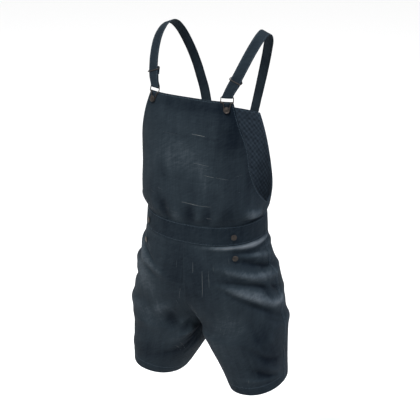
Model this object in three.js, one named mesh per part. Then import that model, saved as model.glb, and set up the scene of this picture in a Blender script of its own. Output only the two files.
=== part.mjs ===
// Denim shortalls in the form they take when worn, with nobody inside: a front bib and a back panel on a
// waistband, short legs, and two straps that run over the shoulders to wire clips on the bib.
// Millimetres, +Z up. The front faces -Y and the wearer's left is +X. The origin lies midway between the
// two places where the shoulders carry the straps.
import * as THREE from 'three';

// Cloth and seams
const CLOTH = 1.6; // wall of one layer of heavy denim, with its turned edges
const BAND_CLOTH = 3.0; // wall of the waistband, which is folded double
const BAND_PROUD = 0.8; // how far the waistband stands out from the panels it joins
const HEM_CLOTH = 2.8; // wall where an edge is turned up and stitched
const SEAM_GAP = 0.3; // gap between neighbouring pieces
const STEP = 0.5; // distance used to measure a surface's slope

// Heights of the garment, measured down from the shoulders
const BIB_TOP = -132;
const BACK_TOP = -217;
const BAND_TOP = -432;
const BAND_BOTTOM = -480;
const CROTCH = -745;
const HEM = -889;

// Turned hems: how far each one reaches from its edge
const BIB_HEM = 22;
const LEG_HEM = 24;

// The trunk, level by level: half its width, the y of its front, its back and its widest point, and how
// square its front and back corners are (2 is an ellipse)
const TRUNK = [
  { z: -130, half: 147, front: -148, back: 60, side: -44, squareFront: 3.2, squareBack: 2.8 },
  { z: -180, half: 150, front: -163, back: 66, side: -49, squareFront: 3.0, squareBack: 2.7 },
  { z: -240, half: 153, front: -172, back: 69, side: -51, squareFront: 2.8, squareBack: 2.6 },
  { z: -310, half: 154, front: -180, back: 65, side: -51, squareFront: 2.6, squareBack: 2.5 },
  { z: -375, half: 157, front: -185, back: 57, side: -51, squareFront: 2.5, squareBack: 2.4 },
  { z: -410, half: 154, front: -183, back: 50, side: -51, squareFront: 2.4, squareBack: 2.3 },
  { z: -432, half: 148, front: -178, back: 46, side: -52, squareFront: 2.2, squareBack: 2.2 },
  { z: -480, half: 151, front: -182, back: 51, side: -54, squareFront: 2.2, squareBack: 2.2 },
  { z: -540, half: 164, front: -184, back: 62, side: -54, squareFront: 2.3, squareBack: 2.3 },
  { z: -610, half: 187, front: -181, back: 77, side: -51, squareFront: 2.3, squareBack: 2.3 },
  { z: -745, half: 206, front: -166, back: 79, side: -46, squareFront: 2.3, squareBack: 2.3 },
];

// A leg, level by level: the centre of its ring, how far the left and the right leg reach inwards, how far
// both reach outwards, forwards and back, and how square the ring's inner corners are
const LEG = [
  { z: -480, x: 96, y: -58, innerLeft: 95.5, innerRight: 95.5, outer: 88, front: 104, back: 108, square: 3.0 },
  { z: -600, x: 98, y: -55, innerLeft: 97.5, innerRight: 97.5, outer: 98, front: 106, back: 112, square: 3.0 },
  { z: -690, x: 103, y: -49, innerLeft: 102.5, innerRight: 102.5, outer: 104, front: 106, back: 113, square: 3.0 },
  { z: -745, x: 111, y: -46, innerLeft: 110.7, innerRight: 110.7, outer: 96, front: 103, back: 108, square: 2.8 },
  { z: -785, x: 122, y: -44, innerLeft: 104, innerRight: 116, outer: 84, front: 98, back: 102, square: 2.6 },
  { z: -830, x: 133, y: -43, innerLeft: 89, innerRight: 101, outer: 73, front: 93, back: 97, square: 2.4 },
  { z: -889, x: 145, y: -43, innerLeft: 74, innerRight: 77, outer: 63, front: 86, back: 90, square: 2.2 },
];
const LEG_SQUARE_OUTER = 2.1; // squareness of the ring's outer corners
const RIGHT_LEG_DROP = 4; // how much lower the right leg's hem hangs
const LEG_BLEND = 5.5; // how late the hips turn into two legs: the power of the blend down the rise
const HEM_RISE_OUT = 0.15; // slope of the hem, up towards the outside of the leg
const HEM_RISE_BACK = 0.02; // slope of the hem, up towards the back

// Where the side edges of the bib and of the back panel lie: degrees from the middle of the front or back
const BIB_EDGE = [
  { z: -132, angle: 36 },
  { z: -190, angle: 49 },
  { z: -243, angle: 60 },
  { z: -298, angle: 65 },
  { z: -344, angle: 73 },
  { z: -371, angle: 81 },
  { z: -394, angle: 90 },
];
const BACK_EDGE = [
  { z: -217, angle: 27 },
  { z: -260, angle: 37 },
  { z: -310, angle: 50 },
  { z: -350, angle: 62 },
  { z: -375, angle: 74 },
  { z: -394, angle: 90 },
];

// Folds of the trunk: each runs from one angle and height to another (degrees from the middle of the front
// towards the wearer's left), sags by some millimetres on the way, and is a ridge or, if negative, a trough
const TRUNK_FOLDS = [
  { from: 57, fromZ: -400, to: 84, toZ: -410, sag: 2, width: 17, depth: 6 },
  { from: 54, fromZ: -421, to: 87, toZ: -430, sag: 2, width: 7, depth: -3.5 },
  { from: -56, fromZ: -400, to: -84, toZ: -408, sag: 2, width: 16, depth: 4.5 },
  { from: -6, fromZ: -432, to: -5, toZ: -384, sag: 0, width: 11, depth: 2.4 },
  { from: 4, fromZ: -432, to: 3, toZ: -378, sag: 0, width: 8, depth: -2.2 },
  { from: 11, fromZ: -432, to: 12, toZ: -380, sag: 0, width: 10, depth: 2.4 },
  { from: 27, fromZ: -432, to: 25, toZ: -378, sag: 0, width: 12, depth: 2.2 },
  { from: -16, fromZ: -432, to: -15, toZ: -372, sag: 0, width: 9, depth: -2.6 },
  { from: -30, fromZ: -432, to: -28, toZ: -370, sag: 0, width: 14, depth: 2.6 },
  { from: 150, fromZ: -432, to: 156, toZ: -350, sag: 0, width: 17, depth: 3.5 },
  { from: 178, fromZ: -432, to: 180, toZ: -362, sag: 0, width: 14, depth: 3 },
  { from: -154, fromZ: -432, to: -158, toZ: -344, sag: 0, width: 17, depth: 3.5 },
  { from: 112, fromZ: -424, to: 132, toZ: -392, sag: 5, width: 13, depth: 3.5 },
  { from: -110, fromZ: -426, to: -134, toZ: -388, sag: 5, width: 13, depth: 3.5 },
];

// Folds of a leg: "around" is 0 at the inner edge, 1 at the side seam and 2 at the inner edge again
const LEFT_LEG_FOLDS = [
  { from: 0.20, fromZ: -485, to: 1.08, toZ: -486, sag: 1, width: 7, depth: 4 },
  { from: 0.50, fromZ: -497, to: 1.10, toZ: -497, sag: 7, width: 7, depth: -5 },
  { from: 0.58, fromZ: -506, to: 1.12, toZ: -534, sag: -1, width: 8, depth: 5 },
  { from: 0.50, fromZ: -518, to: 1.12, toZ: -568, sag: -4, width: 8, depth: -6.5 },
  { from: 0.32, fromZ: -536, to: 1.20, toZ: -582, sag: 8, width: 11, depth: 9 },
  { from: 0.26, fromZ: -573, to: 0.80, toZ: -594, sag: -4, width: 8, depth: -6 },
  { from: 0.76, fromZ: -588, to: 0.90, toZ: -642, sag: 0, width: 8, depth: -4 },
  { from: 0.28, fromZ: -582, to: 1.14, toZ: -660, sag: 3, width: 15, depth: 9 },
  { from: 0.28, fromZ: -590, to: 1.02, toZ: -690, sag: -4, width: 9, depth: -6.5 },
  { from: 0.98, fromZ: -706, to: 1.46, toZ: -722, sag: 2, width: 18, depth: 6 },
  { from: 0.66, fromZ: -682, to: 0.90, toZ: -768, sag: 0, width: 16, depth: -3.5 },
  { from: 0.60, fromZ: -812, to: 0.82, toZ: -866, sag: 0, width: 13, depth: -3 },
  { from: 1.72, fromZ: -600, to: 1.24, toZ: -566, sag: 12, width: 14, depth: 6 },
  { from: 1.74, fromZ: -650, to: 1.24, toZ: -630, sag: 18, width: 15, depth: 7 },
  { from: 1.78, fromZ: -690, to: 1.30, toZ: -690, sag: 14, width: 12, depth: -5 },
  { from: 1.62, fromZ: -505, to: 1.20, toZ: -510, sag: 6, width: 11, depth: 4 },
  { from: 1.80, fromZ: -780, to: 1.36, toZ: -800, sag: 8, width: 16, depth: -4 },
];
const RIGHT_LEG_FOLDS = [
  { from: 0.56, fromZ: -526, to: 0.30, toZ: -558, sag: 2, width: 7, depth: -5 },
  { from: 0.72, fromZ: -520, to: 0.40, toZ: -578, sag: 2, width: 11, depth: 5 },
  { from: 0.62, fromZ: -522, to: 1.16, toZ: -528, sag: 0, width: 13, depth: 5 },
  { from: 0.58, fromZ: -578, to: 1.30, toZ: -592, sag: 0, width: 13, depth: 6 },
  { from: 0.54, fromZ: -622, to: 1.34, toZ: -640, sag: 4, width: 13, depth: -6 },
  { from: 0.50, fromZ: -698, to: 1.38, toZ: -706, sag: 4, width: 18, depth: 6 },
  { from: 0.08, fromZ: -655, to: 0.44, toZ: -706, sag: 2, width: 11, depth: 4.5 },
  { from: 0.12, fromZ: -684, to: 0.42, toZ: -744, sag: 2, width: 10, depth: -6 },
  { from: 0.08, fromZ: -714, to: 0.38, toZ: -778, sag: 2, width: 10, depth: 5 },
  { from: 0.05, fromZ: -744, to: 0.32, toZ: -814, sag: 2, width: 10, depth: -5.5 },
  { from: 0.50, fromZ: -760, to: 0.86, toZ: -770, sag: 6, width: 20, depth: -3 },
  { from: 0.60, fromZ: -826, to: 1.00, toZ: -836, sag: 8, width: 15, depth: 3 },
  { from: 1.72, fromZ: -610, to: 1.26, toZ: -575, sag: 14, width: 15, depth: 6 },
  { from: 1.74, fromZ: -660, to: 1.24, toZ: -655, sag: 16, width: 14, depth: -5 },
  { from: 1.64, fromZ: -508, to: 1.18, toZ: -512, sag: 5, width: 11, depth: 4 },
];
const LEG_ROW_EASE = 1.3; // packs the rows of a leg panel more closely towards the waist
const FOLD_FADE = 0.2; // folds of a leg die out over this much of "around" beside the middle seam
const LEG_PANEL_WIDTH = 250; // girth of one leg panel, which turns "around" into millimetres

// The left strap's middle line over the shoulder, from the back panel to the bib, with the direction of its
// width: turned about the vertical by "turn" and tipped down towards the outside by "tip", in degrees
const STRAP = [
  { x: 72, y: 68, z: -181, turn: -12, tip: 0 },
  { x: 80, y: 65, z: -149, turn: -10, tip: 0 },
  { x: 88, y: 61, z: -118, turn: -8, tip: 2 },
  { x: 97, y: 54, z: -86, turn: -8, tip: 4 },
  { x: 107, y: 43, z: -53, turn: -8, tip: 8 },
  { x: 116, y: 29, z: -25, turn: -6, tip: 14 },
  { x: 121, y: 12, z: -8, turn: -3, tip: 20 },
  { x: 123, y: -10, z: 0, turn: 0, tip: 22 },
  { x: 124, y: -34, z: -4, turn: 2, tip: 22 },
  { x: 123, y: -59, z: -16, turn: 5, tip: 18 },
  { x: 119, y: -84, z: -36, turn: 9, tip: 12 },
  { x: 113, y: -105, z: -60, turn: 12, tip: 7 },
  { x: 106, y: -122, z: -84, turn: 14, tip: 3 },
  { x: 99, y: -134, z: -104, turn: 17, tip: 1 },
];
const STRAP_WIDTH = 25;
const STRAP_CLOTH = 2.2; // folded double and stitched
const STRAP_STATIONS = 34; // steps along the part over the shoulder
const STRAP_OFF_PANEL = 0.5; // gap under the end that is sewn to the back panel
const STRAP_END = [
  { x: 54, z: -258 },
  { x: 60, z: -236 },
];
const LAYER_GAP = 0.6; // gap between the two layers under the slider
const WRAP_STEPS = 6; // steps round a bar
const BAR_BLEND = 14; // how far up the strap takes the clip's own directions

// Wire hardware. Across and down are measured on the bib from the button
const WIRE = 2;
const WIRE_GAP = 0.35;
const WIRE_SIDES = 6;
const BIB_BUTTON = { x: 94, z: -150 };
const CLIP_WIRE = [
  { across: 13.9, down: -28.2 },
  { across: 14.3, down: -23 },
  { across: 14.0, down: -17.4 },
  { across: 12.0, down: -16.4 },
  { across: 9.2, down: -16.0 },
  { across: 8.2, down: -13.6 },
  { across: 6.8, down: -6 },
  { across: 5.6, down: -1.2 },
  { across: 4.4, down: 2.6 },
  { across: 2.2, down: 4.6 },
];
const SLIDER_UP = 37; // along the strap, from the clip's bar to the slider
const SLIDER_TILT = 7; // how much higher the slider's back bar lies than its front bar
const STRAP_TAIL = 16; // the strap's end below the slider's back bar

// Buttons of the side fastenings: degrees from the middle of the front, and height
const SIDE_BUTTONS = [
  { name: 'waist_button', angle: 47, z: -459 },
  { name: 'hip_button', angle: 47, z: -511 },
];
// Turned shapes of the buttons: how far out from the cloth each radius lies
const BIB_BUTTON_SHAPE = [
  { radius: 2.4, out: 0.4 },
  { radius: 2.4, out: 3.6 },
  { radius: 6.2, out: 3.9 },
  { radius: 6.9, out: 4.6 },
  { radius: 6.5, out: 5.5 },
  { radius: 4.6, out: 6.0 },
];
const SIDE_BUTTON_SHAPE = [
  { radius: 2.8, out: 0.4 },
  { radius: 2.8, out: 1.6 },
  { radius: 6.8, out: 1.9 },
  { radius: 7.2, out: 2.6 },
  { radius: 6.8, out: 3.4 },
  { radius: 5.6, out: 3.2 },
];
const BUTTON_SEGMENTS = 18;

const radians = THREE.MathUtils.degToRad;
const smooth = (t) => THREE.MathUtils.smoothstep(t, 0, 1);

// Reads a named column of a table at a height, on a smooth curve through the rows
function column(table, name, z) {
  let i = 1;
  while (i < table.length - 1 && z < table[i].z) i++;
  const a = table[i - 1];
  const b = table[i];
  const slopeAt = (k) => {
    const lo = table[Math.max(0, k - 1)];
    const hi = table[Math.min(table.length - 1, k + 1)];
    return (hi[name] - lo[name]) / (hi.z - lo.z);
  };
  const span = b.z - a.z;
  const t = THREE.MathUtils.clamp((z - a.z) / span, 0, 1);
  const t2 = t * t;
  const t3 = t2 * t;
  return (2 * t3 - 3 * t2 + 1) * a[name] + (t3 - 2 * t2 + t) * span * slopeAt(i - 1)
    + (3 * t2 - 2 * t3) * b[name] + (t3 - t2) * span * slopeAt(i);
}

// How far the folds push a point out. Places are given across and down the cloth, in millimetres
function foldHeight(folds, across, down, scaleAcross) {
  let height = 0;
  for (const fold of folds) {
    const ax = fold.from * scaleAcross;
    const bx = fold.to * scaleAcross;
    let nearest = Infinity;
    let along = 0;
    const pieces = 12;
    for (let k = 0; k <= pieces; k++) {
      const t = k / pieces;
      const x = ax + (bx - ax) * t;
      const z = fold.fromZ + (fold.toZ - fold.fromZ) * t - 4 * fold.sag * t * (1 - t);
      const d = Math.hypot(across - x, down - z);
      if (d < nearest) {
        nearest = d;
        along = t;
      }
    }
    const ends = Math.sin(Math.PI * THREE.MathUtils.clamp(0.08 + 0.84 * along, 0, 1));
    height += fold.depth * ends * Math.exp(-((nearest / fold.width) ** 2));
  }
  return height;
}

// A point of the trunk at an angle from the middle of the front (radians) and a height
function trunkRing(angle, z) {
  const front = Math.cos(angle) >= 0;
  const power = 2 / column(TRUNK, front ? 'squareFront' : 'squareBack', z);
  const half = column(TRUNK, 'half', z);
  const side = column(TRUNK, 'side', z);
  const reach = column(TRUNK, front ? 'front' : 'back', z) - side;
  const s = Math.sin(angle);
  return new THREE.Vector3(
    half * Math.sign(s) * Math.abs(s) ** power,
    side + reach * Math.abs(Math.cos(angle)) ** power,
    z,
  );
}

// Outward unit normal of a surface given as point(u, v), by small steps that are sized in millimetres
function normalAt(point, u, v, uStep, vStep) {
  const du = point(u + uStep, v).sub(point(u - uStep, v));
  const dv = point(u, v + vStep).sub(point(u, v - vStep));
  return du.cross(dv).normalize();
}

function trunkSurface(angle, z, proud = 0) {
  const bare = (a, h) => trunkRing(a, h);
  const step = STEP / column(TRUNK, 'half', z);
  const normal = normalAt(bare, angle, z, step, STEP);
  const degrees = THREE.MathUtils.radToDeg(angle);
  const perDegree = radians(column(TRUNK, 'half', z));
  let lift = proud;
  for (const turn of [-360, 0, 360]) {
    lift += foldHeight(TRUNK_FOLDS, (degrees + turn) * perDegree, z, perDegree);
  }
  return bare(angle, z).addScaledVector(normal, lift);
}

// A point of a leg before its folds, drawn on the left. "around" runs 0 to 1 over the front and 1 to 2 over
// the back, and side is 1 for the wearer's left leg and -1 for the right
function legForm(side, around, z) {
  const blend = THREE.MathUtils.clamp((BAND_BOTTOM - z) / (BAND_BOTTOM - CROTCH), 0, 1) ** LEG_BLEND;
  const hips = trunkRing(Math.PI / 2 * around, Math.max(z, CROTCH));
  const turn = Math.PI * around;
  const x = column(LEG, 'x', z);
  const y = column(LEG, 'y', z);
  const inwards = Math.cos(turn) > 0;
  const forwards = Math.sin(turn) > 0;
  const inner = side > 0 ? 'innerLeft' : 'innerRight';
  const power = 2 / (inwards ? column(LEG, 'square', z) : LEG_SQUARE_OUTER);
  const sideReach = Math.abs(Math.cos(turn)) ** power * column(LEG, inwards ? inner : 'outer', z);
  const depthReach = Math.abs(Math.sin(turn)) ** power * column(LEG, forwards ? 'front' : 'back', z);
  const leg = new THREE.Vector3(
    x + (inwards ? -sideReach : sideReach),
    y + (forwards ? -depthReach : depthReach),
    z,
  );
  const point = hips.lerp(leg, blend);
  const low = smooth((CROTCH + 60 - z) / (CROTCH + 60 - HEM));
  point.z = z + low * (HEM_RISE_OUT * (point.x - x) + HEM_RISE_BACK * (point.y - y));
  if (side < 0) point.z -= low * RIGHT_LEG_DROP;
  return point;
}

// A point of one leg's outer face
function legSurface(side, around, z) {
  const folds = side > 0 ? LEFT_LEG_FOLDS : RIGHT_LEG_FOLDS;
  const bare = (a, h) => legForm(side, a, h);
  const normal = normalAt(bare, around, z, STEP / LEG_PANEL_WIDTH, STEP);
  const fade = smooth(Math.min(around, 2 - around) / FOLD_FADE);
  const lift = fade * foldHeight(folds, around * LEG_PANEL_WIDTH, z, LEG_PANEL_WIDTH);
  const point = bare(around, z).addScaledVector(normal, lift);
  point.x *= side;
  return point;
}

// A closed wall between two faces that are given as rows of points. The first face is the one outside
function wall(outer, inner) {
  const rows = outer.length;
  const columns = outer[0].length;
  const positions = [];
  for (const face of [outer, inner]) {
    for (const row of face) {
      for (const p of row) positions.push(p.x, p.y, p.z);
    }
  }
  const at = (face, r, c) => face * rows * columns + r * columns + c;
  const index = [];
  const quad = (a, b, c, d) => index.push(a, b, c, a, c, d);
  for (let r = 0; r < rows - 1; r++) {
    for (let c = 0; c < columns - 1; c++) {
      quad(at(0, r, c), at(0, r + 1, c), at(0, r + 1, c + 1), at(0, r, c + 1));
      quad(at(1, r, c), at(1, r, c + 1), at(1, r + 1, c + 1), at(1, r + 1, c));
    }
  }
  for (let r = 0; r < rows - 1; r++) {
    quad(at(0, r, 0), at(1, r, 0), at(1, r + 1, 0), at(0, r + 1, 0));
    const last = columns - 1;
    quad(at(0, r, last), at(0, r + 1, last), at(1, r + 1, last), at(1, r, last));
  }
  for (let c = 0; c < columns - 1; c++) {
    quad(at(0, 0, c), at(0, 0, c + 1), at(1, 0, c + 1), at(1, 0, c));
    quad(at(0, rows - 1, c), at(1, rows - 1, c), at(1, rows - 1, c + 1), at(0, rows - 1, c + 1));
  }
  const geometry = new THREE.BufferGeometry();
  geometry.setAttribute('position', new THREE.Float32BufferAttribute(positions, 3));
  geometry.setIndex(index);
  geometry.computeVertexNormals();
  return geometry;
}

// A panel of cloth: point(u, v) gives its outer face for u and v from 0 to 1, with u to the wearer's left at
// the front and v downwards, and thickness(u, v) gives its wall. keep(p) holds a point within the piece's own
// side of a seam
function panel(columns, rows, point, thickness, keep = (p) => p) {
  const outer = [];
  const inner = [];
  const small = 0.004;
  for (let r = 0; r <= rows; r++) {
    const v = r / rows;
    const outerRow = [];
    const innerRow = [];
    for (let c = 0; c <= columns; c++) {
      const u = c / columns;
      const acrossLow = point(Math.max(0, u - small), v);
      const acrossHigh = point(Math.min(1, u + small), v);
      const downLow = point(u, Math.max(0, v - small));
      const downHigh = point(u, Math.min(1, v + small));
      const inwards = acrossHigh.sub(acrossLow).cross(downHigh.sub(downLow)).normalize();
      const p = point(u, v);
      outerRow.push(keep(p));
      innerRow.push(keep(p.clone().addScaledVector(inwards, thickness(u, v))));
    }
    outer.push(outerRow);
    inner.push(innerRow);
  }
  return wall(outer, inner);
}

const DENIM = { color: 0x2c3a47, roughness: 0.85, metalness: 0 };
const BRONZE = { color: 0x6b6058, roughness: 0.4, metalness: 1 };

const garment = new THREE.Group();

function add(name, geometry, finish, parent = garment) {
  const mesh = new THREE.Mesh(geometry, new THREE.MeshStandardMaterial(finish));
  mesh.name = name;
  parent.add(mesh);
  return mesh;
}

// The wall of a panel grows from one layer to a turned hem near an edge
const hemmed = (distance, hem) => (distance < hem ? HEM_CLOTH : CLOTH);

function bibFront() {
  const top = BIB_TOP;
  const bottom = BAND_TOP + SEAM_GAP;
  const point = (u, v) => {
    const z = THREE.MathUtils.lerp(top, bottom, v);
    const edge = radians(column(BIB_EDGE, 'angle', z));
    const seam = SEAM_GAP / 2 / column(TRUNK, 'half', z);
    return trunkSurface((2 * u - 1) * (edge - seam), z);
  };
  const thickness = (u, v) => hemmed(v * (top - bottom), BIB_HEM);
  add('bib_front', panel(26, 20, point, thickness), DENIM);
}

function backPanel() {
  const top = BACK_TOP;
  const bottom = BAND_TOP + SEAM_GAP;
  const point = (u, v) => {
    const z = THREE.MathUtils.lerp(top, bottom, v);
    const edge = radians(column(BACK_EDGE, 'angle', z));
    const seam = SEAM_GAP / 2 / column(TRUNK, 'half', z);
    return trunkSurface(Math.PI + (2 * u - 1) * (edge - seam), z);
  };
  const thickness = (u, v) => hemmed(v * (top - bottom), BIB_HEM);
  add('back_panel', panel(22, 14, point, thickness), DENIM);
}

// The waistband's outer face, straight from its upper edge to its lower edge
function bandSurface(angle, z) {
  const edges = [BAND_TOP, BAND_BOTTOM].map((level) => {
    const normal = normalAt(trunkRing, angle, level, STEP / column(TRUNK, 'half', level), STEP);
    return trunkRing(angle, level).addScaledVector(normal, BAND_PROUD);
  });
  return edges[0].lerp(edges[1], (BAND_TOP - z) / (BAND_TOP - BAND_BOTTOM));
}

function waistband() {
  for (const [name, middle] of [['waistband_front', 0], ['waistband_back', Math.PI]]) {
    const point = (u, v) => {
      const z = THREE.MathUtils.lerp(BAND_TOP, BAND_BOTTOM, v);
      const seam = SEAM_GAP / 2 / column(TRUNK, 'half', z);
      return bandSurface(middle + (2 * u - 1) * (Math.PI / 2 - seam), z);
    };
    add(name, panel(30, 1, point, () => BAND_CLOTH), DENIM);
  }
}

function legs() {
  for (const [sideName, side] of [['left', 1], ['right', -1]]) {
    for (const [faceName, start] of [['front', 0], ['back', 1]]) {
      const seam = SEAM_GAP / 2 / LEG_PANEL_WIDTH;
      const top = BAND_BOTTOM - SEAM_GAP;
      const point = (u, v) => {
        const share = side > 0 ? u : 1 - u;
        const around = start + THREE.MathUtils.lerp(seam, 1 - seam, share);
        return legSurface(side, around, THREE.MathUtils.lerp(top, HEM, v ** LEG_ROW_EASE));
      };
      const thickness = (u, v) => hemmed((1 - v ** LEG_ROW_EASE) * (top - HEM), LEG_HEM);
      const keep = (p) => p.setX(side * Math.max(SEAM_GAP / 2, side * p.x));
      add(`${sideName}_leg_${faceName}`, panel(18, 22, point, thickness, keep), DENIM);
    }
  }
}

// A place on the trunk's outer face at a distance x from the middle, with its outward direction
function trunkPlace(x, z, front) {
  const square = column(TRUNK, front ? 'squareFront' : 'squareBack', z);
  const angle = Math.asin((x / column(TRUNK, 'half', z)) ** (square / 2));
  return placeAt(front ? angle : Math.PI - angle, z, trunkSurface);
}

// The point of a surface at an angle and height, with its outward direction
function placeAt(angle, z, surface) {
  const step = STEP / 100;
  const out = normalAt((a, h) => surface(a, h), angle, z, step, STEP);
  return { at: surface(angle, z), out };
}

// The directions of a fitting on the bib: across it, down it and out from it
function frameOn(place) {
  const down = new THREE.Vector3(0, 0, -1);
  down.addScaledVector(place.out, -down.dot(place.out)).normalize();
  return { at: place.at, out: place.out, down, across: place.out.clone().cross(down) };
}

// A wire along points that nearly lie in a plane with the given normal. A closed wire joins its ends
function wireGeometry(points, normal, closed) {
  const count = points.length;
  const positions = [];
  for (let i = 0; i < count; i++) {
    const before = points[closed ? (i + count - 1) % count : Math.max(0, i - 1)];
    const after = points[closed ? (i + 1) % count : Math.min(count - 1, i + 1)];
    const along = after.clone().sub(before).normalize();
    const side = along.clone().cross(normal).normalize();
    const up = side.clone().cross(along);
    for (let k = 0; k < WIRE_SIDES; k++) {
      const turn = 2 * Math.PI * k / WIRE_SIDES;
      const p = points[i].clone();
      p.addScaledVector(side, Math.cos(turn) * WIRE / 2).addScaledVector(up, Math.sin(turn) * WIRE / 2);
      positions.push(p.x, p.y, p.z);
    }
  }
  const index = [];
  for (let i = 0; i < (closed ? count : count - 1); i++) {
    for (let k = 0; k < WIRE_SIDES; k++) {
      const a = i * WIRE_SIDES + k;
      const b = i * WIRE_SIDES + (k + 1) % WIRE_SIDES;
      const c = ((i + 1) % count) * WIRE_SIDES + (k + 1) % WIRE_SIDES;
      const d = ((i + 1) % count) * WIRE_SIDES + k;
      index.push(a, c, b, a, d, c);
    }
  }
  const geometry = new THREE.BufferGeometry();
  geometry.setAttribute('position', new THREE.Float32BufferAttribute(positions, 3));
  geometry.setIndex(index);
  geometry.computeVertexNormals();
  return geometry;
}

// Rounds the corners of a closed loop of points
function roundedLoop(points, steps) {
  const curve = new THREE.CatmullRomCurve3(points, true, 'centripetal');
  return curve.getSpacedPoints(steps).slice(0, -1);
}

// Makes the right-hand twin of a left-hand body
function mirrored(geometry) {
  const twin = geometry.clone();
  const position = twin.attributes.position;
  for (let i = 0; i < position.count; i++) position.setX(i, -position.getX(i));
  const index = Array.from(twin.index.array);
  for (let i = 0; i < index.length; i += 3) [index[i], index[i + 1]] = [index[i + 1], index[i]];
  twin.setIndex(index);
  twin.computeVertexNormals();
  return twin;
}

function addPair(name, geometry, finish) {
  add(`left_${name}`, geometry, finish);
  add(`right_${name}`, mirrored(geometry), finish);
}

const clipFrame = frameOn(trunkPlace(BIB_BUTTON.x, BIB_BUTTON.z, true));
const wireOut = WIRE_GAP + WIRE / 2;
const barDown = CLIP_WIRE[0].down - 1;

// A point on the bib, given from the clip's button
function onClip(across, down, out) {
  return clipFrame.at.clone().addScaledVector(clipFrame.across, across)
    .addScaledVector(clipFrame.down, down).addScaledVector(clipFrame.out, out);
}

function clips() {
  const half = CLIP_WIRE.map((p) => onClip(p.across, p.down, wireOut));
  const rest = CLIP_WIRE.map((p) => onClip(-p.across, p.down, wireOut)).reverse();
  const bar = [-12.3, 0, 12.3].map((across) => onClip(across, barDown, wireOut));
  const loop = roundedLoop([...half, ...rest, ...bar], 62);
  addPair('clip', wireGeometry(loop, clipFrame.out, true), BRONZE);
}

// The strap over the shoulder as a smooth curve with the direction of its width. It starts at its sewn end
// and stops at the clip's bar
const wrapRadius = WIRE / 2 + WIRE_GAP + STRAP_CLOTH / 2;
const strapStart = STRAP_END.map((row) => {
  const place = trunkPlace(row.x, row.z, false);
  const point = place.at.clone().addScaledVector(place.out, STRAP_OFF_PANEL + STRAP_CLOTH / 2);
  return { point, width: new THREE.Vector3(0, 0, 1).cross(place.out).negate().normalize() };
});
const strapOver = STRAP.map((row) => {
  const width = new THREE.Vector3(1, 0, 0).applyAxisAngle(new THREE.Vector3(0, 1, 0), radians(row.tip));
  width.applyAxisAngle(new THREE.Vector3(0, 0, 1), radians(row.turn));
  return { point: new THREE.Vector3(row.x, row.y, row.z), width };
});
const strapStop = { point: onClip(0, barDown, wireOut + wrapRadius), width: clipFrame.across };
const strapRows = [...strapStart, ...strapOver, strapStop];
const strapCurve = new THREE.CatmullRomCurve3(strapRows.map((row) => row.point), false, 'centripetal');
const widthCurve = new THREE.CatmullRomCurve3(strapRows.map((row) => row.width), false, 'centripetal');
const strapLength = strapCurve.getLength();

// A place beside the strap: "up" along it from the clip's bar and "out" from its middle line, away from the
// body
function besideStrap(up, out) {
  const share = THREE.MathUtils.clamp(1 - up / strapLength, 0, 1);
  const t = strapCurve.getUtoTmapping(share);
  const along = strapCurve.getTangent(t);
  const width = widthCurve.getPoint(t);
  width.addScaledVector(along, -width.dot(along) * smooth(up / SLIDER_UP)).normalize();
  const outwards = along.clone().cross(width).normalize();
  outwards.lerp(clipFrame.out, 1 - smooth(up / BAR_BLEND)).normalize();
  const point = strapCurve.getPoint(t).addScaledVector(outwards, out);
  if (up < 0) point.addScaledVector(clipFrame.down, -up);
  return { point, width };
}

// Steps of a turn round a bar that starts from "up, out" and curls by half a turn towards the body
function wrapSteps(up, out, radius, downwards) {
  const steps = [];
  for (let k = 0; k <= WRAP_STEPS; k++) {
    const turn = Math.PI * k / WRAP_STEPS;
    const rise = (downwards ? -1 : 1) * radius * Math.sin(turn);
    steps.push([up + rise, out - radius + radius * Math.cos(turn)]);
  }
  return steps;
}

function straps() {
  const innerOut = -(STRAP_CLOTH + LAYER_GAP);
  const sliderBack = SLIDER_UP + SLIDER_TILT;
  const path = [];
  for (let k = 0; k < STRAP_STATIONS; k++) {
    path.push([THREE.MathUtils.lerp(strapLength, SLIDER_UP + 8, k / STRAP_STATIONS), 0]);
  }
  path.push([SLIDER_UP + 8, 0], [SLIDER_UP, 0], [SLIDER_UP * 0.66, 0], [SLIDER_UP * 0.33, 0], [4, 0]);
  path.push(...wrapSteps(0, 0, wrapRadius, true));
  path.push([5, -4.4], [12, innerOut], [SLIDER_UP * 0.6, innerOut], [sliderBack - 6, innerOut]);
  path.push(...wrapSteps(sliderBack, innerOut, wrapRadius, false));
  path.push([sliderBack - 5, 2 * innerOut - 1.4], [sliderBack - STRAP_TAIL, 2 * innerOut]);
  const outer = [];
  const inner = [];
  for (let i = 0; i < path.length; i++) {
    const here = besideStrap(...path[i]);
    const before = besideStrap(...path[Math.max(0, i - 1)]).point;
    const after = besideStrap(...path[Math.min(path.length - 1, i + 1)]).point;
    const along = after.sub(before).normalize();
    const face = along.cross(here.width).normalize();
    const outerRow = [];
    const innerRow = [];
    for (const side of [-0.5, 0.5]) {
      const edge = here.point.clone().addScaledVector(here.width, side * STRAP_WIDTH);
      outerRow.push(edge.clone().addScaledVector(face, STRAP_CLOTH / 2));
      innerRow.push(edge.clone().addScaledVector(face, -STRAP_CLOTH / 2));
    }
    outer.push(outerRow);
    inner.push(innerRow);
  }
  addPair('strap', wall(outer, inner), DENIM);
}

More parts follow.
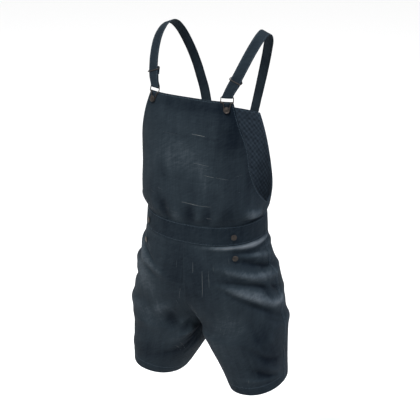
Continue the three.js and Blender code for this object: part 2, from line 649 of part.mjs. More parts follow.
function sliders() {
  const frontOut = STRAP_CLOTH / 2 + wireOut;
  const backOut = -(STRAP_CLOTH + LAYER_GAP) - wrapRadius;
  const reach = STRAP_WIDTH / 2 + wireOut;
  const corner = (across, up, out) => {
    const place = besideStrap(up, out);
    return place.point.addScaledVector(place.width, across);
  };
  const back = SLIDER_UP + SLIDER_TILT;
  const middleUp = (SLIDER_UP + back) / 2;
  const middleOut = (frontOut + backOut) / 2;
  const barEnd = STRAP_WIDTH / 2 - 0.2;
  const loop = roundedLoop([
    corner(-reach, SLIDER_UP, frontOut),
    corner(-barEnd, SLIDER_UP, frontOut),
    corner(barEnd, SLIDER_UP, frontOut),
    corner(reach, SLIDER_UP, frontOut),
    corner(reach + 0.8, middleUp, middleOut),
    corner(reach, back, backOut),
    corner(barEnd, back, backOut),
    corner(-barEnd, back, backOut),
    corner(-reach, back, backOut),
    corner(-reach - 0.8, middleUp, middleOut),
  ], 44);
  const upwards = corner(0, back, frontOut).sub(corner(0, SLIDER_UP, backOut)).normalize();
  addPair('slider', wireGeometry(loop, upwards, true), BRONZE);
}

// A turned button on a place, with its back a little off the cloth
function buttonGeometry(place, shape) {
  const first = shape[0];
  const last = shape[shape.length - 1];
  const profile = [new THREE.Vector2(0, first.out)];
  for (const row of shape) profile.push(new THREE.Vector2(row.radius, row.out));
  profile.push(new THREE.Vector2(0, last.out));
  const positions = [];
  const rings = profile.slice(1, -1);
  positions.push(0, first.out, 0);
  for (const ring of rings) {
    for (let k = 0; k < BUTTON_SEGMENTS; k++) {
      const turn = 2 * Math.PI * k / BUTTON_SEGMENTS;
      positions.push(ring.x * Math.cos(turn), ring.y, ring.x * Math.sin(turn));
    }
  }
  positions.push(0, last.out, 0);
  const index = [];
  const at = (ring, k) => 1 + ring * BUTTON_SEGMENTS + k % BUTTON_SEGMENTS;
  const top = positions.length / 3 - 1;
  for (let k = 0; k < BUTTON_SEGMENTS; k++) {
    index.push(0, at(0, k), at(0, k + 1));
    for (let r = 0; r < rings.length - 1; r++) {
      index.push(at(r, k), at(r + 1, k), at(r + 1, k + 1), at(r, k), at(r + 1, k + 1), at(r, k + 1));
    }
    index.push(top, at(rings.length - 1, k + 1), at(rings.length - 1, k));
  }
  const geometry = new THREE.BufferGeometry();
  geometry.setAttribute('position', new THREE.Float32BufferAttribute(positions, 3));
  geometry.setIndex(index);
  const turn = new THREE.Quaternion().setFromUnitVectors(new THREE.Vector3(0, 1, 0), place.out);
  geometry.applyQuaternion(turn);
  geometry.translate(place.at.x, place.at.y, place.at.z);
  geometry.computeVertexNormals();
  return geometry;
}

function buttons() {
  addPair('bib_button', buttonGeometry(clipFrame, BIB_BUTTON_SHAPE), BRONZE);
  for (const row of SIDE_BUTTONS) {
    for (const [sideName, side] of [['left', 1], ['right', -1]]) {
      const legFace = (angle, z) => legSurface(side, Math.abs(angle) / (Math.PI / 2), z);
      const surface = row.z > BAND_BOTTOM ? bandSurface : legFace;
      const place = placeAt(side * radians(row.angle), row.z, surface);
      add(`${sideName}_${row.name}`, buttonGeometry(place, SIDE_BUTTON_SHAPE), BRONZE);
    }
  }
}

bibFront();
backPanel();
waistband();
legs();
straps();
clips();
sliders();
buttons();

export default garment;
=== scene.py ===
# Denim shortalls in their worn shape, as finer pieces in the places of its solids: cloth, topstitching,
# straps, wire fittings and buttons. Tables are in millimetres, as on the pattern, and meshes in metres. The
# front faces -Y, the wearer's left is +X and +Z is up. The origin lies midway between the shoulders.
import math
from functools import partial

import bpy
import numpy as np
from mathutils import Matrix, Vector


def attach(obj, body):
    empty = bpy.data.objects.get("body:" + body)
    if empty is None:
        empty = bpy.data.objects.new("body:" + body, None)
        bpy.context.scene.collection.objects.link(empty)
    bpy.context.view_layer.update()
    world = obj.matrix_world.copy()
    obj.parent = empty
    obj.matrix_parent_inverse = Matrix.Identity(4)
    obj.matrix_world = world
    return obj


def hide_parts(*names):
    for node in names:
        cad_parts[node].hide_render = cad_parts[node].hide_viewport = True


MM = 0.001
BODY = "root"
SIDES = (("left", 1), ("right", -1))
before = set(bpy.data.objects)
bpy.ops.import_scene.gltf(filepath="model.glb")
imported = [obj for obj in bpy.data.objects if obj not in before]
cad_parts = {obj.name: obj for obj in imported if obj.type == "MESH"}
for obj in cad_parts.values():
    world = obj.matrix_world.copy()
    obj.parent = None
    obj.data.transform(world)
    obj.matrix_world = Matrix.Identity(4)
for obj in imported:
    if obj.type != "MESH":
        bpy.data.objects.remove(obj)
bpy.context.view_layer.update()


def table(columns, *rows):
    """A short table with named columns."""
    values = np.array(rows, float)
    return {name: values[:, k] for k, name in enumerate(columns.split())}


# Heights of the garment, measured down from the shoulders
BIB_TOP = -132
BACK_TOP = -217
BAND_TOP = -432
BAND_BOTTOM = -480
CROTCH = -745
HEM = -889

# Cloth, seams and turned edges
CLOTH = 1.3
HEM_CLOTH = 2.4
BAND_CLOTH = 2.8
BAND_PROUD = 0.8
SEAM_GAP = 0.04
SURFACE_STEP = 0.5
BIB_HEM = 22
ARM_HEM = 10
LEG_HEM = 24
FELL = 9
EDGE_STITCH = 4
FELL_STITCH = 2.4
INNER_SEAM_STITCHES = (0.64, 1)
BAND_STITCH = 3
EDGE_ROLL = 0.55

# Points across and down each panel's grid
BIB_GRID = (150, 136)
BACK_GRID = (120, 96)
BAND_GRID = (200, 26)
LEG_GRID = (118, 176)

# The front seam is drawn in just above the crotch
TUCK_DEPTH = 6
TUCK_TOP = -640
TUCK_TOP_EASE = 45
TUCK_FOOT_EASE = 30
TUCK_WIDTH = 8

# The trunk, level by level: half its width, the y of its front, back and widest point, and how square its
# front and back corners are
TRUNK = table(
    "z half front back side square_front square_back",
    (-130, 147, -148, 60, -44, 3.2, 2.8),
    (-180, 150, -163, 66, -49, 3.0, 2.7),
    (-240, 153, -172, 69, -51, 2.8, 2.6),
    (-310, 154, -180, 65, -51, 2.6, 2.5),
    (-375, 157, -185, 57, -51, 2.5, 2.4),
    (-410, 154, -183, 50, -51, 2.4, 2.3),
    (-432, 148, -178, 46, -52, 2.2, 2.2),
    (-480, 151, -182, 51, -54, 2.2, 2.2),
    (-540, 164, -184, 62, -54, 2.3, 2.3),
    (-610, 187, -181, 77, -51, 2.3, 2.3),
    (-745, 206, -166, 79, -46, 2.3, 2.3),
)
# A leg, level by level: the centre of its ring, how far it reaches, and how square its inner corners are
LEG = table(
    "z x y inner_left inner_right outer front back square",
    (-480, 96, -58, 95.5, 95.5, 88, 104, 108, 3.0),
    (-600, 98, -55, 97.5, 97.5, 98, 106, 112, 3.0),
    (-690, 103, -49, 102.5, 102.5, 104, 106, 113, 3.0),
    (-745, 111, -46, 110.7, 110.7, 96, 103, 108, 2.8),
    (-785, 122, -44, 104, 116, 84, 98, 102, 2.6),
    (-830, 133, -43, 89, 101, 73, 93, 97, 2.4),
    (-889, 145, -43, 74, 77, 63, 86, 90, 2.2),
)
LEG_SQUARE_OUTER = 2.1
LEG_BLEND = 5.5
LEG_GIRTH = 250
HEM_RISE_OUT = 0.15
HEM_RISE_BACK = 0.02
RIGHT_LEG_DROP = 4
LEG_TILT_TOP = CROTCH + 60
FOLD_FADE = 0.2
FOLD_TOP = BAND_BOTTOM + 1
FOLD_TOP_EASE = 6

# Side edges of the bib and the back panel: degrees from the middle of the front or back
BIB_EDGE = table(
    "z angle",
    (-132, 36), (-190, 49), (-243, 60), (-298, 65), (-344, 73), (-371, 81), (-394, 90),
)
BACK_EDGE = table(
    "z angle",
    (-217, 27), (-260, 37), (-310, 50), (-350, 62), (-375, 74), (-394, 90),
)

# Folds: each runs from one place to another, sags on the way, and is a ridge or, if negative, a trough.
# Places on the trunk are degrees from the middle of the front towards the wearer's left. Places on a leg
# are 0 at its inner edge, 1 at the side seam and 2 at the inner edge again
FOLD = "start start_z end end_z sag width depth"
TRUNK_FOLDS = table(
    FOLD,
    (57, -400, 84, -410, 2, 17, 6),
    (54, -421, 87, -430, 2, 7, -3.5),
    (-56, -400, -84, -408, 2, 16, 4.5),
    (-6, -432, -5, -384, 0, 11, 2.4),
    (4, -432, 3, -378, 0, 8, -2.2),
    (11, -432, 12, -380, 0, 10, 2.4),
    (27, -432, 25, -378, 0, 12, 2.2),
    (-16, -432, -15, -372, 0, 9, -2.6),
    (-30, -432, -28, -370, 0, 14, 2.6),
    (150, -432, 156, -350, 0, 17, 3.5),
    (178, -432, 180, -362, 0, 14, 3),
    (-154, -432, -158, -344, 0, 17, 3.5),
    (112, -424, 132, -392, 5, 13, 3.5),
    (-110, -426, -134, -388, 5, 13, 3.5),
)
LEFT_FOLDS = table(
    FOLD,
    (0.20, -485, 1.08, -486, 1, 7, 4),
    (0.50, -497, 1.10, -497, 7, 7, -5),
    (0.58, -506, 1.12, -534, -1, 8, 5),
    (0.50, -518, 1.12, -568, -4, 8, -6.5),
    (0.32, -536, 1.20, -582, 8, 11, 9),
    (0.26, -573, 0.80, -594, -4, 8, -6),
    (0.76, -588, 0.90, -642, 0, 8, -4),
    (0.28, -582, 1.14, -660, 3, 15, 9),
    (0.28, -590, 1.02, -690, -4, 9, -6.5),
    (0.98, -706, 1.46, -722, 2, 18, 6),
    (0.66, -682, 0.90, -768, 0, 16, -3.5),
    (0.60, -812, 0.82, -866, 0, 13, -3.5),
    (1.72, -600, 1.24, -566, 12, 14, 6),
    (1.74, -650, 1.24, -630, 18, 15, 7),
    (1.78, -690, 1.30, -690, 14, 12, -5),
    (1.62, -505, 1.20, -510, 6, 11, 4),
    (1.80, -780, 1.36, -800, 8, 16, -4),
)
RIGHT_FOLDS = table(
    FOLD,
    (0.56, -526, 0.30, -558, 2, 7, -5),
    (0.72, -520, 0.40, -578, 2, 11, 5),
    (0.62, -522, 1.16, -528, 0, 13, 5),
    (0.58, -578, 1.30, -592, 0, 13, 6),
    (0.54, -622, 1.34, -640, 4, 13, -6),
    (0.50, -698, 1.38, -706, 4, 18, 6),
    (0.08, -655, 0.44, -706, 2, 11, 4.5),
    (0.12, -684, 0.42, -744, 2, 10, -6),
    (0.08, -714, 0.38, -778, 2, 10, 5),
    (0.05, -744, 0.32, -814, 2, 10, -5.5),
    (0.50, -760, 0.86, -770, 6, 20, -3),
    (0.60, -826, 1.00, -836, 8, 15, 3),
    (1.72, -610, 1.26, -575, 14, 15, 6),
    (1.74, -660, 1.24, -655, 16, 14, -5),
    (1.64, -508, 1.18, -512, 5, 11, 4),
)
FOLD_PIECES = 12
FOLD_END = 0.08

# Finer creases between the folds, in the same columns
TRUNK_CREASES = table(
    FOLD,
    (-38, -424, -36, -398, 0, 4, 0.9),
    (-22, -430, -21, -402, 0, 4, 0.8),
    (-1, -430, -1, -408, 0, 3, 0.9),
    (7, -430, 8, -400, 0, 3, -0.9),
    (18, -430, 19, -404, 0, 4, 0.9),
    (34, -430, 35, -396, 0, 4, -0.8),
    (41, -428, 42, -402, 0, 5, 0.8),
    (49, -427, 52, -408, 0, 4, 0.7),
    (62, -389, 82, -396, 2, 5, -1.2),
    (66, -414, 86, -420, 1, 4, 1.0),
    (-62, -389, -82, -395, 2, 5, -1.1),
    (-20, -250, -34, -262, 3, 14, -0.9),
    (28, -196, 44, -214, 2, 12, -1.0),
    (-8, -340, 30, -352, 4, 16, -0.9),
    (-40, -330, -56, -352, 3, 12, 0.9),
    (160, -430, 163, -396, 0, 4, -0.9),
    (169, -430, 170, -404, 0, 4, 0.9),
    (186, -430, 188, -398, 0, 4, 0.9),
    (197, -430, 195, -404, 0, 4, -0.8),
    (142, -428, 140, -404, 0, 5, 0.8),
    (218, -428, 220, -402, 0, 5, 0.8),
    (150, -250, 200, -262, 5, 15, -0.9),
)
LEFT_CREASES = table(
    FOLD,
    (0.26, -483, 0.74, -484, 0, 4, 1.8),
    (0.60, -487, 1.16, -482, 1, 6, 3.4),
    (0.74, -560, 1.10, -548, 10, 6, 2.6),
    (0.62, -578, 0.92, -612, -3, 6, -2.6),
    (0.80, -636, 1.14, -628, 12, 7, 3.0),
    (0.90, -596, 1.02, -622, 0, 7, -3.2),
    (0.66, -492, 1.02, -491, 2, 3, 1.4),
    (0.84, -509, 1.10, -514, 1, 3, -1.5),
    (0.62, -527, 0.92, -541, -2, 3, 1.4),
    (0.86, -548, 1.08, -556, 2, 3, -1.6),
    (0.40, -561, 0.62, -566, 2, 4, -1.3),
    (0.90, -597, 1.08, -618, 1, 4, -1.8),
    (0.62, -600, 0.78, -612, 1, 3, 1.2),
    (0.34, -602, 0.60, -640, 1, 4, -1.4),
    (0.74, -668, 1.00, -704, 2, 5, -1.5),
    (0.16, -640, 0.30, -700, 2, 8, -1.2),
    (0.20, -735, 0.50, -760, 4, 12, 1.2),
    (0.98, -770, 1.14, -840, 2, 9, -1.6),
    (0.58, -682, 0.78, -762, 2, 8, -2.2),
    (0.78, -706, 0.89, -760, 2, 8, 2.6),
    (0.64, -756, 0.92, -802, 14, 9, -2.6),
    (0.75, -810, 0.95, -846, 2, 8, 2.8),
    (0.66, -822, 0.84, -850, 1, 6, -2.2),
    (0.48, -842, 0.97, -860, 2, 5, 2.2),
    (1.20, -520, 1.60, -512, 5, 5, -1.4),
    (1.30, -590, 1.66, -612, 6, 5, -1.6),
    (1.34, -640, 1.72, -668, 6, 5, 1.5),
    (1.26, -745, 1.60, -752, 7, 8, -1.5),
    (1.50, -830, 1.72, -850, 4, 8, 1.3),
    (1.70, -700, 1.88, -735, 2, 5, -1.6),
    (1.76, -716, 1.90, -748, 2, 4, 1.3),
)
RIGHT_CREASES = table(
    FOLD,
    (0.70, -493, 1.00, -490, 2, 3, 1.3),
    (0.60, -506, 0.86, -510, 2, 4, -1.4),
    (0.44, -516, 0.62, -500, 1, 4, 1.3),
    (0.62, -552, 0.84, -560, 3, 4, -1.3),
    (0.86, -604, 1.10, -612, 2, 4, -1.6),
    (0.50, -548, 0.12, -588, 2, 11, 2.6),
    (0.48, -572, 0.24, -594, 1, 8, -2.4),
    (0.03, -698, 0.32, -742, 2, 4, 2.6),
    (0.04, -709, 0.30, -750, 2, 3, -2.4),
    (0.03, -718, 0.28, -758, 2, 4, 2.6),
    (0.05, -732, 0.24, -774, 2, 3, -2.4),
    (0.06, -744, 0.20, -792, 2, 4, 2.4),
    (0.10, -766, 0.22, -818, 2, 4, -2.0),
    (0.30, -800, 0.50, -846, 2, 8, -1.2),
    (0.44, -664, 0.66, -690, 3, 9, -1.3),
    (0.84, -730, 1.06, -760, 3, 8, -1.4),
    (0.66, -850, 0.84, -866, 1, 6, 1.2),
    (1.22, -522, 1.58, -516, 5, 5, -1.3),
    (1.28, -600, 1.62, -626, 6, 5, 1.6),
    (1.36, -690, 1.70, -716, 6, 6, -1.5),
    (1.30, -760, 1.62, -790, 7, 8, 1.4),
    (1.72, -704, 1.88, -740, 2, 5, -1.5),
    (1.52, -840, 1.74, -856, 4, 7, -1.3),
)

# Where wear has faded the cloth, and where highlights and shade are painted on it: middle, half extents and
# amount
TONE_SPOT = "place z reach reach_z amount"
BIB_FADING_AND_PAINTED_SHADING = table(
    TONE_SPOT,
    (-5, -262, 30, 62, 0.20),
    (10, -330, 30, 60, 0.09),
    (-38, -270, 14, 90, 0.08),
    (2, -380, 30, 22, 0.04),
    # Painted highlights on the bulge at the side and on the ridges of the gathers above the waistband
    (66, -406, 12, 12, 0.20),
    (-5, -418, 4, 17, 0.20),
    (11, -412, 3.5, 17, 0.17),
    (26, -406, 4, 17, 0.14),
    (-24, -412, 4, 17, 0.13),
    # Painted shade in the troughs of the gathers above the waistband
    (-15.7, -398, 4, 26, -0.13),
    (4.5, -402, 3.5, 26, -0.13),
    (19, -400, 4, 26, -0.14),
    (-33, -402, 5, 24, -0.12),
    (38, -400, 5, 24, -0.13),
    (-16, -318, 5, 26, -0.12),
    (40, -210, 14, 50, -0.20),
    # Painted shade along the bib's left edge, where the light catches it at a glancing angle
    (-62, -270, 16, 120, -0.22),
    (31, -162, 18, 32, -0.14),
    (4, -150, 60, 16, -0.20),
    (0, -402, 60, 26, -0.06),
)
BACK_FADING = table(
    TONE_SPOT,
    (180, -330, 30, 50, 0.28),
    (160, -392, 14, 18, 0.16),
    (202, -392, 14, 18, 0.16),
    (180, -232, 60, 14, -0.15),
)
LEFT_FADING_AND_PAINTED_SHADING = table(
    TONE_SPOT,
    # Painted highlights on the fold crests just below the waistband, where the band shades them
    (0.40, -486, 0.26, 5, 0.34),
    (0.78, -487, 0.24, 7, 0.36),
    (0.90, -509, 0.20, 7, 0.24),
    (0.40, -684, 0.28, 64, 0.20),
    (0.62, -592, 0.26, 30, 0.20),
    (0.34, -790, 0.22, 50, 0.10),
    (0.98, -520, 0.16, 40, 0.12),
    (0.94, -640, 0.12, 34, 0.10),
    (0.06, -590, 0.12, 80, -0.12),
    (0.84, -800, 0.16, 50, -0.16),
    (0.14, -770, 0.12, 60, -0.10),
    (0.40, -884, 0.40, 18, -0.12),
    (1.50, -660, 0.34, 70, 0.22),
)
RIGHT_FADING_AND_PAINTED_SHADING = table(
    TONE_SPOT,
    # Painted highlight on the fold crest just below the waistband, where the band shades it
    (0.50, -486, 0.34, 5, 0.16),
    (0.50, -610, 0.28, 56, 0.34),
    (0.42, -740, 0.22, 50, 0.20),
    (0.62, -530, 0.20, 26, 0.14),
    (0.06, -560, 0.12, 80, -0.12),
    (0.90, -700, 0.14, 120, -0.14),
    (0.50, -830, 0.40, 26, -0.12),
    (0.20, -752, 0.12, 36, -0.24),
    # Painted shade on the far hip's lit edge
    (0.76, -556, 0.10, 44, -0.28),
    (1.50, -660, 0.34, 70, 0.22),
)

# Pulled yarns that catch the light: from, to and how strongly each shows
YARN = "start start_z end end_z weight"
BIB_YARNS = table(
    YARN,
    (1.6, -211, 12.5, -213, 1.0),
    (2, -276, 21, -282, 0.55),
    (4, -285, 20, -290, 0.35),
    (13, -303, 23, -306, 0.7),
    (22, -305.5, 41, -312, 0.5),
    (44, -305, 56, -300, 0.35),
    (-1.6, -375, 13, -378, 0.9),
    (9, -377.5, 24, -378, 0.6),
    (17, -407, 24, -409, 0.7),
    (-12, -403, 0, -405, 0.25),
    (-18.5, -217, -1, -219, 0.12),
    (-24, -352, -12, -358, 0.3),
    (-34, -366, -22, -371, 0.25),
    (-18, -398, -8, -401, 0.4),
    (46, -344, 54, -342, 0.25),
    (-42, -402, -30, -408, 0.3),
)
LEFT_YARNS = table(
    YARN,
    (0.16, -535, 0.13, -627, 0.8),
    (0.22, -532, 0.20, -600, 0.5),
    (0.04, -668, 0.06, -682, 0.9),
    (0.03, -652, 0.03, -664, 0.6),
    (0.06, -690, 0.09, -699, 0.7),
    (0.27, -529, 0.27, -545, 0.45),
    (0.08, -520, 0.07, -559, 0.65),
    (0.34, -702, 0.37, -716, 0.4),
    (0.40, -710, 0.42, -728, 0.35),
    (0.45, -504, 0.44, -530, 0.3),
    (0.58, -838, 0.55, -860, 0.35),
    (0.44, -846, 0.46, -862, 0.3),
)
RIGHT_YARNS = table(
    YARN,
    (0.02, -597, 0.05, -644, 0.5),
    (0.05, -520, 0.05, -560, 0.3),
    (0.08, -640, 0.06, -662, 0.4),
    (0.34, -787, 0.24, -812, 0.6),
    (0.31, -776, 0.20, -811, 0.5),
    (0.22, -800, 0.30, -806, 0.4),
    (0.50, -506, 0.42, -530, 0.4),
)

# The left strap's middle line over the shoulder, from the back panel to the bib, with the direction of its
# width: turned about the vertical by "turn" and tipped down towards the outside by "tip", in degrees
STRAP = table(
    "x y z turn tip",
    (72, 68, -181, -12, 0),
    (80, 65, -149, -10, 0),
    (88, 61, -118, -8, 2),
    (97, 54, -86, -8, 4),
    (107, 43, -53, -8, 8),
    (116, 29, -25, -6, 14),
    (121, 12, -8, -3, 20),
    (123, -10, 0, 0, 22),
    (124, -34, -4, 2, 22),
    (123, -59, -16, 5, 18),
    (119, -84, -36, 9, 12),
    (113, -105, -60, 12, 7),
    (106, -122, -84, 14, 3),
    (99, -134, -104, 17, 1),
)
STRAP_END = table("x z", (54, -258), (60, -236))
STRAP_WIDTH = 25
STRAP_CLOTH = 2.2
STRAP_STATIONS = 34
STRAP_OFF_PANEL = 0.5
LAYER_GAP = 0.6
WRAP_STEPS = 6
BAR_BLEND = 14
SLIDER_UP = 37
SLIDER_TILT = 7
STRAP_TAIL = 16

# Wire fittings. Across and down are measured on the bib from the button
WIRE = 2
WIRE_GAP = 0.35
WIRE_SIDES = 14
CLIP_THICKNESS = 2.3
CLIP_BAR_REACH = 12.3
CLIP_STEPS = 150
SLIDER_STEPS = 120
BIB_BUTTON_X = 94
BIB_BUTTON_Z = -150
CLIP_WIRE = table(
    "across down",
    (13.9, -28.2), (14.3, -23), (14.0, -17.4), (12.0, -16.4), (9.2, -16.0),
    (8.2, -13.6), (6.8, -6), (5.6, -1.2), (4.4, 2.6), (2.2, 4.6),
)
SIDE_BUTTONS = {"waist_button": (47, -459), "hip_button": (47, -511)}

# Turned shapes of the buttons: how far out from the cloth each radius lies
BIB_BUTTON_SHAPE = table(
    "radius out",
    (2.4, 0.4), (2.4, 3.4), (2.9, 3.7), (6.3, 3.9), (7.1, 4.2), (7.4, 4.8), (7.2, 5.4), (6.7, 5.7),
    (6.1, 5.6), (5.7, 5.2), (5.1, 5.1), (3.6, 5.5), (1.8, 5.8),
)
SIDE_BUTTON_SHAPE = table(
    "radius out",
    (2.8, 0.4), (2.8, 1.5), (3.3, 1.7), (6.4, 1.9), (7.0, 2.2), (7.2, 2.7), (7.0, 3.2), (6.5, 3.4),
    (6.0, 3.3), (5.7, 3.0), (5.2, 2.9), (3.6, 3.1), (1.8, 3.3),
)
BUTTON_SEGMENTS = 40

# Topstitching
STITCH_PITCH = 3.8
STITCH_LENGTH = 2.4
STITCH_THREAD = 0.62
STITCH_PROUD = 0.12
STITCH_TRACK = 2.0


# Small helpers

def smooth(t):
    t = np.clip(t, 0, 1)
    return t * t * (3 - 2 * t)


def bell(distance, width):
    """1 at no distance, then falling softly to nothing in about two widths."""
    return np.exp(-((distance / width) ** 2))


def unit(vectors):
    vectors = np.asarray(vectors, float)
    return vectors / np.linalg.norm(vectors, axis=-1, keepdims=True)


def cells(rows, columns):
    """The row and the column of every cell of a grid."""
    return np.divmod(np.arange(rows * columns), columns)


def add_object(name, data):
    made = bpy.data.objects.new(name, data)
    bpy.context.scene.collection.objects.link(made)
    return made


def rows_of(rows):
    """Each row of a table as a dictionary."""
    count = len(next(iter(rows.values())))
    return [{name: values[k] for name, values in rows.items()} for k in range(count)]


def linear(red, green, blue):
    """A colour as a screen shows it, 0 to 255, as the light that shaders take."""
    shares = np.array([red, green, blue]) / 255
    light = np.where(shares <= 0.04045, shares / 12.92, ((shares + 0.055) / 1.055) ** 2.4)
    return (*[float(v) for v in light], 1.0)


# Surfaces of the garment, in millimetres

def column(rows, name, z):
    """A named column at heights z, on a smooth curve through the rows."""
    levels = rows["z"]
    values = rows[name]
    last = len(levels) - 1
    k = np.arange(last + 1)
    low = np.maximum(k - 1, 0)
    high = np.minimum(k + 1, last)
    slopes = (values[high] - values[low]) / (levels[high] - levels[low])
    z = np.asarray(z, float)
    i = np.clip(np.searchsorted(-levels, -z, side="right"), 1, last)
    span = levels[i] - levels[i - 1]
    t = np.clip((z - levels[i - 1]) / span, 0, 1)
    value = (2 * t**3 - 3 * t**2 + 1) * values[i - 1] + (t**3 - 2 * t**2 + t) * span * slopes[i - 1]
    return value + (3 * t**2 - 2 * t**3) * values[i] + (t**3 - t**2) * span * slopes[i]


def fold_height(folds, across, down, scale):
    """How far the folds push points out. Places across are turned into millimetres by the scale."""
    across, down, scale = np.broadcast_arrays(across, down, scale)
    height = np.zeros(across.shape)
    share = np.linspace(0, 1, FOLD_PIECES + 1)
    for fold in rows_of(folds):
        line = fold["start"] + (fold["end"] - fold["start"]) * share
        line_z = fold["start_z"] + (fold["end_z"] - fold["start_z"]) * share
        line_z -= 4 * fold["sag"] * share * (1 - share)
        nearest = np.full(across.shape, np.inf)
        along = np.zeros(across.shape)
        for k in range(FOLD_PIECES):
            x = (across - line[k]) * scale
            z = down - line_z[k]
            step_x = (line[k + 1] - line[k]) * scale
            step_z = line_z[k + 1] - line_z[k]
            t = np.clip((x * step_x + z * step_z) / (step_x**2 + step_z**2), 0, 1)
            distance = np.hypot(x - t * step_x, z - t * step_z)
            closer = distance < nearest
            nearest = np.where(closer, distance, nearest)
            along = np.where(closer, (k + t) / FOLD_PIECES, along)
        ends = np.sin(np.pi * (FOLD_END + (1 - 2 * FOLD_END) * along))
        height += fold["depth"] * ends * bell(nearest, fold["width"])
    return height


def trunk_ring(angle, z):
    """The trunk before its folds, at an angle from the middle of the front."""
    angle, z = np.broadcast_arrays(np.asarray(angle, float), np.asarray(z, float))
    front = np.cos(angle) >= 0
    power = 2 / np.where(front, column(TRUNK, "square_front", z), column(TRUNK, "square_back", z))
    side = column(TRUNK, "side", z)
    reach = np.where(front, column(TRUNK, "front", z), column(TRUNK, "back", z)) - side
    sine = np.sin(angle)
    x = column(TRUNK, "half", z) * np.sign(sine) * np.abs(sine) ** power
    return np.stack([x, side + reach * np.abs(np.cos(angle)) ** power, z], -1)


def normal_at(point, u, v, u_step, v_step):
    """The outward direction of a surface, from small steps across and down it."""
    across = point(u + u_step, v) - point(u - u_step, v)
    down = point(u, v + v_step) - point(u, v - v_step)
    return unit(np.cross(across, down))


def trunk_lift(angle, z):
    """Folds and creases of the trunk."""
    degrees = np.degrees(angle)
    per_degree = np.radians(column(TRUNK, "half", z))
    turns = (-360, 0, 360)
    return sum(fold_height(rows, degrees + turn, z, per_degree)
               for rows in (TRUNK_FOLDS, TRUNK_CREASES) for turn in turns)


def trunk_surface(angle, z, proud=0.0):
    step = SURFACE_STEP / column(TRUNK, "half", z)
    lift = proud + trunk_lift(angle, z)
    return trunk_ring(angle, z) + normal_at(trunk_ring, angle, z, step, SURFACE_STEP) * lift[..., None]


def leg_form(side, around, z):
    """A leg before its folds, drawn on the left. Around is 0 to 1 over the front and 1 to 2 over the back."""
    around, z = np.broadcast_arrays(np.asarray(around, float), np.asarray(z, float))
    blend = np.clip((BAND_BOTTOM - z) / (BAND_BOTTOM - CROTCH), 0, 1) ** LEG_BLEND
    hips = trunk_ring(np.pi / 2 * around, np.maximum(z, CROTCH))
    turn = np.pi * around
    x = column(LEG, "x", z)
    y = column(LEG, "y", z)
    inwards = np.cos(turn) > 0
    forwards = np.sin(turn) > 0
    inner = column(LEG, "inner_left" if side > 0 else "inner_right", z)
    power = 2 / np.where(inwards, column(LEG, "square", z), LEG_SQUARE_OUTER)
    side_reach = np.abs(np.cos(turn)) ** power * np.where(inwards, -inner, column(LEG, "outer", z))
    depth = np.abs(np.sin(turn)) ** power
    depth = depth * np.where(forwards, -column(LEG, "front", z), column(LEG, "back", z))
    leg = np.stack([x + side_reach, y + depth, z], -1)
    point = hips + (leg - hips) * blend[..., None]
    low = smooth((LEG_TILT_TOP - z) / (LEG_TILT_TOP - HEM))
    rise = HEM_RISE_OUT * (point[..., 0] - x) + HEM_RISE_BACK * (point[..., 1] - y)
    if side < 0:
        rise = rise - RIGHT_LEG_DROP
    point[..., 2] = z + low * rise
    return point


def leg_lift(side, around, z, crease_weight=1.0):
    """Folds and creases of a leg."""
    folds, creases = (LEFT_FOLDS, LEFT_CREASES) if side > 0 else (RIGHT_FOLDS, RIGHT_CREASES)
    lift = fold_height(folds, around, z, LEG_GIRTH)
    return lift + crease_weight * fold_height(creases, around, z, LEG_GIRTH)


def leg_surface(side, around, z, proud=0.0):
    def bare(a, h):
        return leg_form(side, a, h)

    around = np.asarray(around, float)
    normal = normal_at(bare, around, z, SURFACE_STEP / LEG_GIRTH, SURFACE_STEP)
    fade = smooth(np.minimum(around, 2 - around) / FOLD_FADE)
    lift = leg_lift(side, around, z) * smooth((FOLD_TOP - z) / FOLD_TOP_EASE)
    point = bare(around, z) + normal * (proud + fade * lift)[..., None]
    tuck = bell(around * LEG_GIRTH, TUCK_WIDTH) * smooth((TUCK_TOP - z) / TUCK_TOP_EASE)
    point[..., 1] += TUCK_DEPTH * tuck * smooth((z - CROTCH) / TUCK_FOOT_EASE)
    return point * (side, 1, 1)


def band_surface(angle, z, proud=0.0):
    """The waistband's outer face, straight from its upper edge to its lower edge."""
    edges = []
    for level in (BAND_TOP, BAND_BOTTOM):
        step = SURFACE_STEP / column(TRUNK, "half", level)
        normal = normal_at(trunk_ring, angle, level, step, SURFACE_STEP)
        edges.append(trunk_ring(angle, level) + normal * np.asarray(BAND_PROUD + proud)[..., None])
    share = ((BAND_TOP - np.asarray(z, float)) / (BAND_TOP - BAND_BOTTOM))[..., None]
    return edges[0] + (edges[1] - edges[0]) * share


# Materials

def feed(tree, node, inputs):
    """Gives a node its inputs: values, or outputs to link."""
    for name, value in inputs.items():
        if isinstance(value, bpy.types.NodeSocket):
            tree.links.new(value, node.inputs[name])
        else:
            node.inputs[name].default_value = value


def put(tree, kind, inputs=None, **settings):
    """Adds a node."""
    node = tree.nodes.new(kind)
    for name, value in settings.items():
        setattr(node, name, value)
    feed(tree, node, inputs or {})
    return node


def blank_material(name):
    material = bpy.data.materials.new(name)
    material.use_nodes = True
    tree = material.node_tree
    tree.nodes.clear()
    shader = put(tree, "ShaderNodeBsdfPrincipled")
    put(tree, "ShaderNodeOutputMaterial", {"Surface": shader.outputs[0]})
    return material, tree, shader


def calculate(tree, operation, first, second=0.0, third=0.0):
    return put(tree, "ShaderNodeMath", {0: first, 1: second, 2: third}, operation=operation).outputs[0]


def mixed(tree, factor, first, second):
    """One colour turned into another by a factor."""
    node = put(tree, "ShaderNodeMix", {0: factor, 6: first, 7: second}, data_type="RGBA")
    return node.outputs[2]


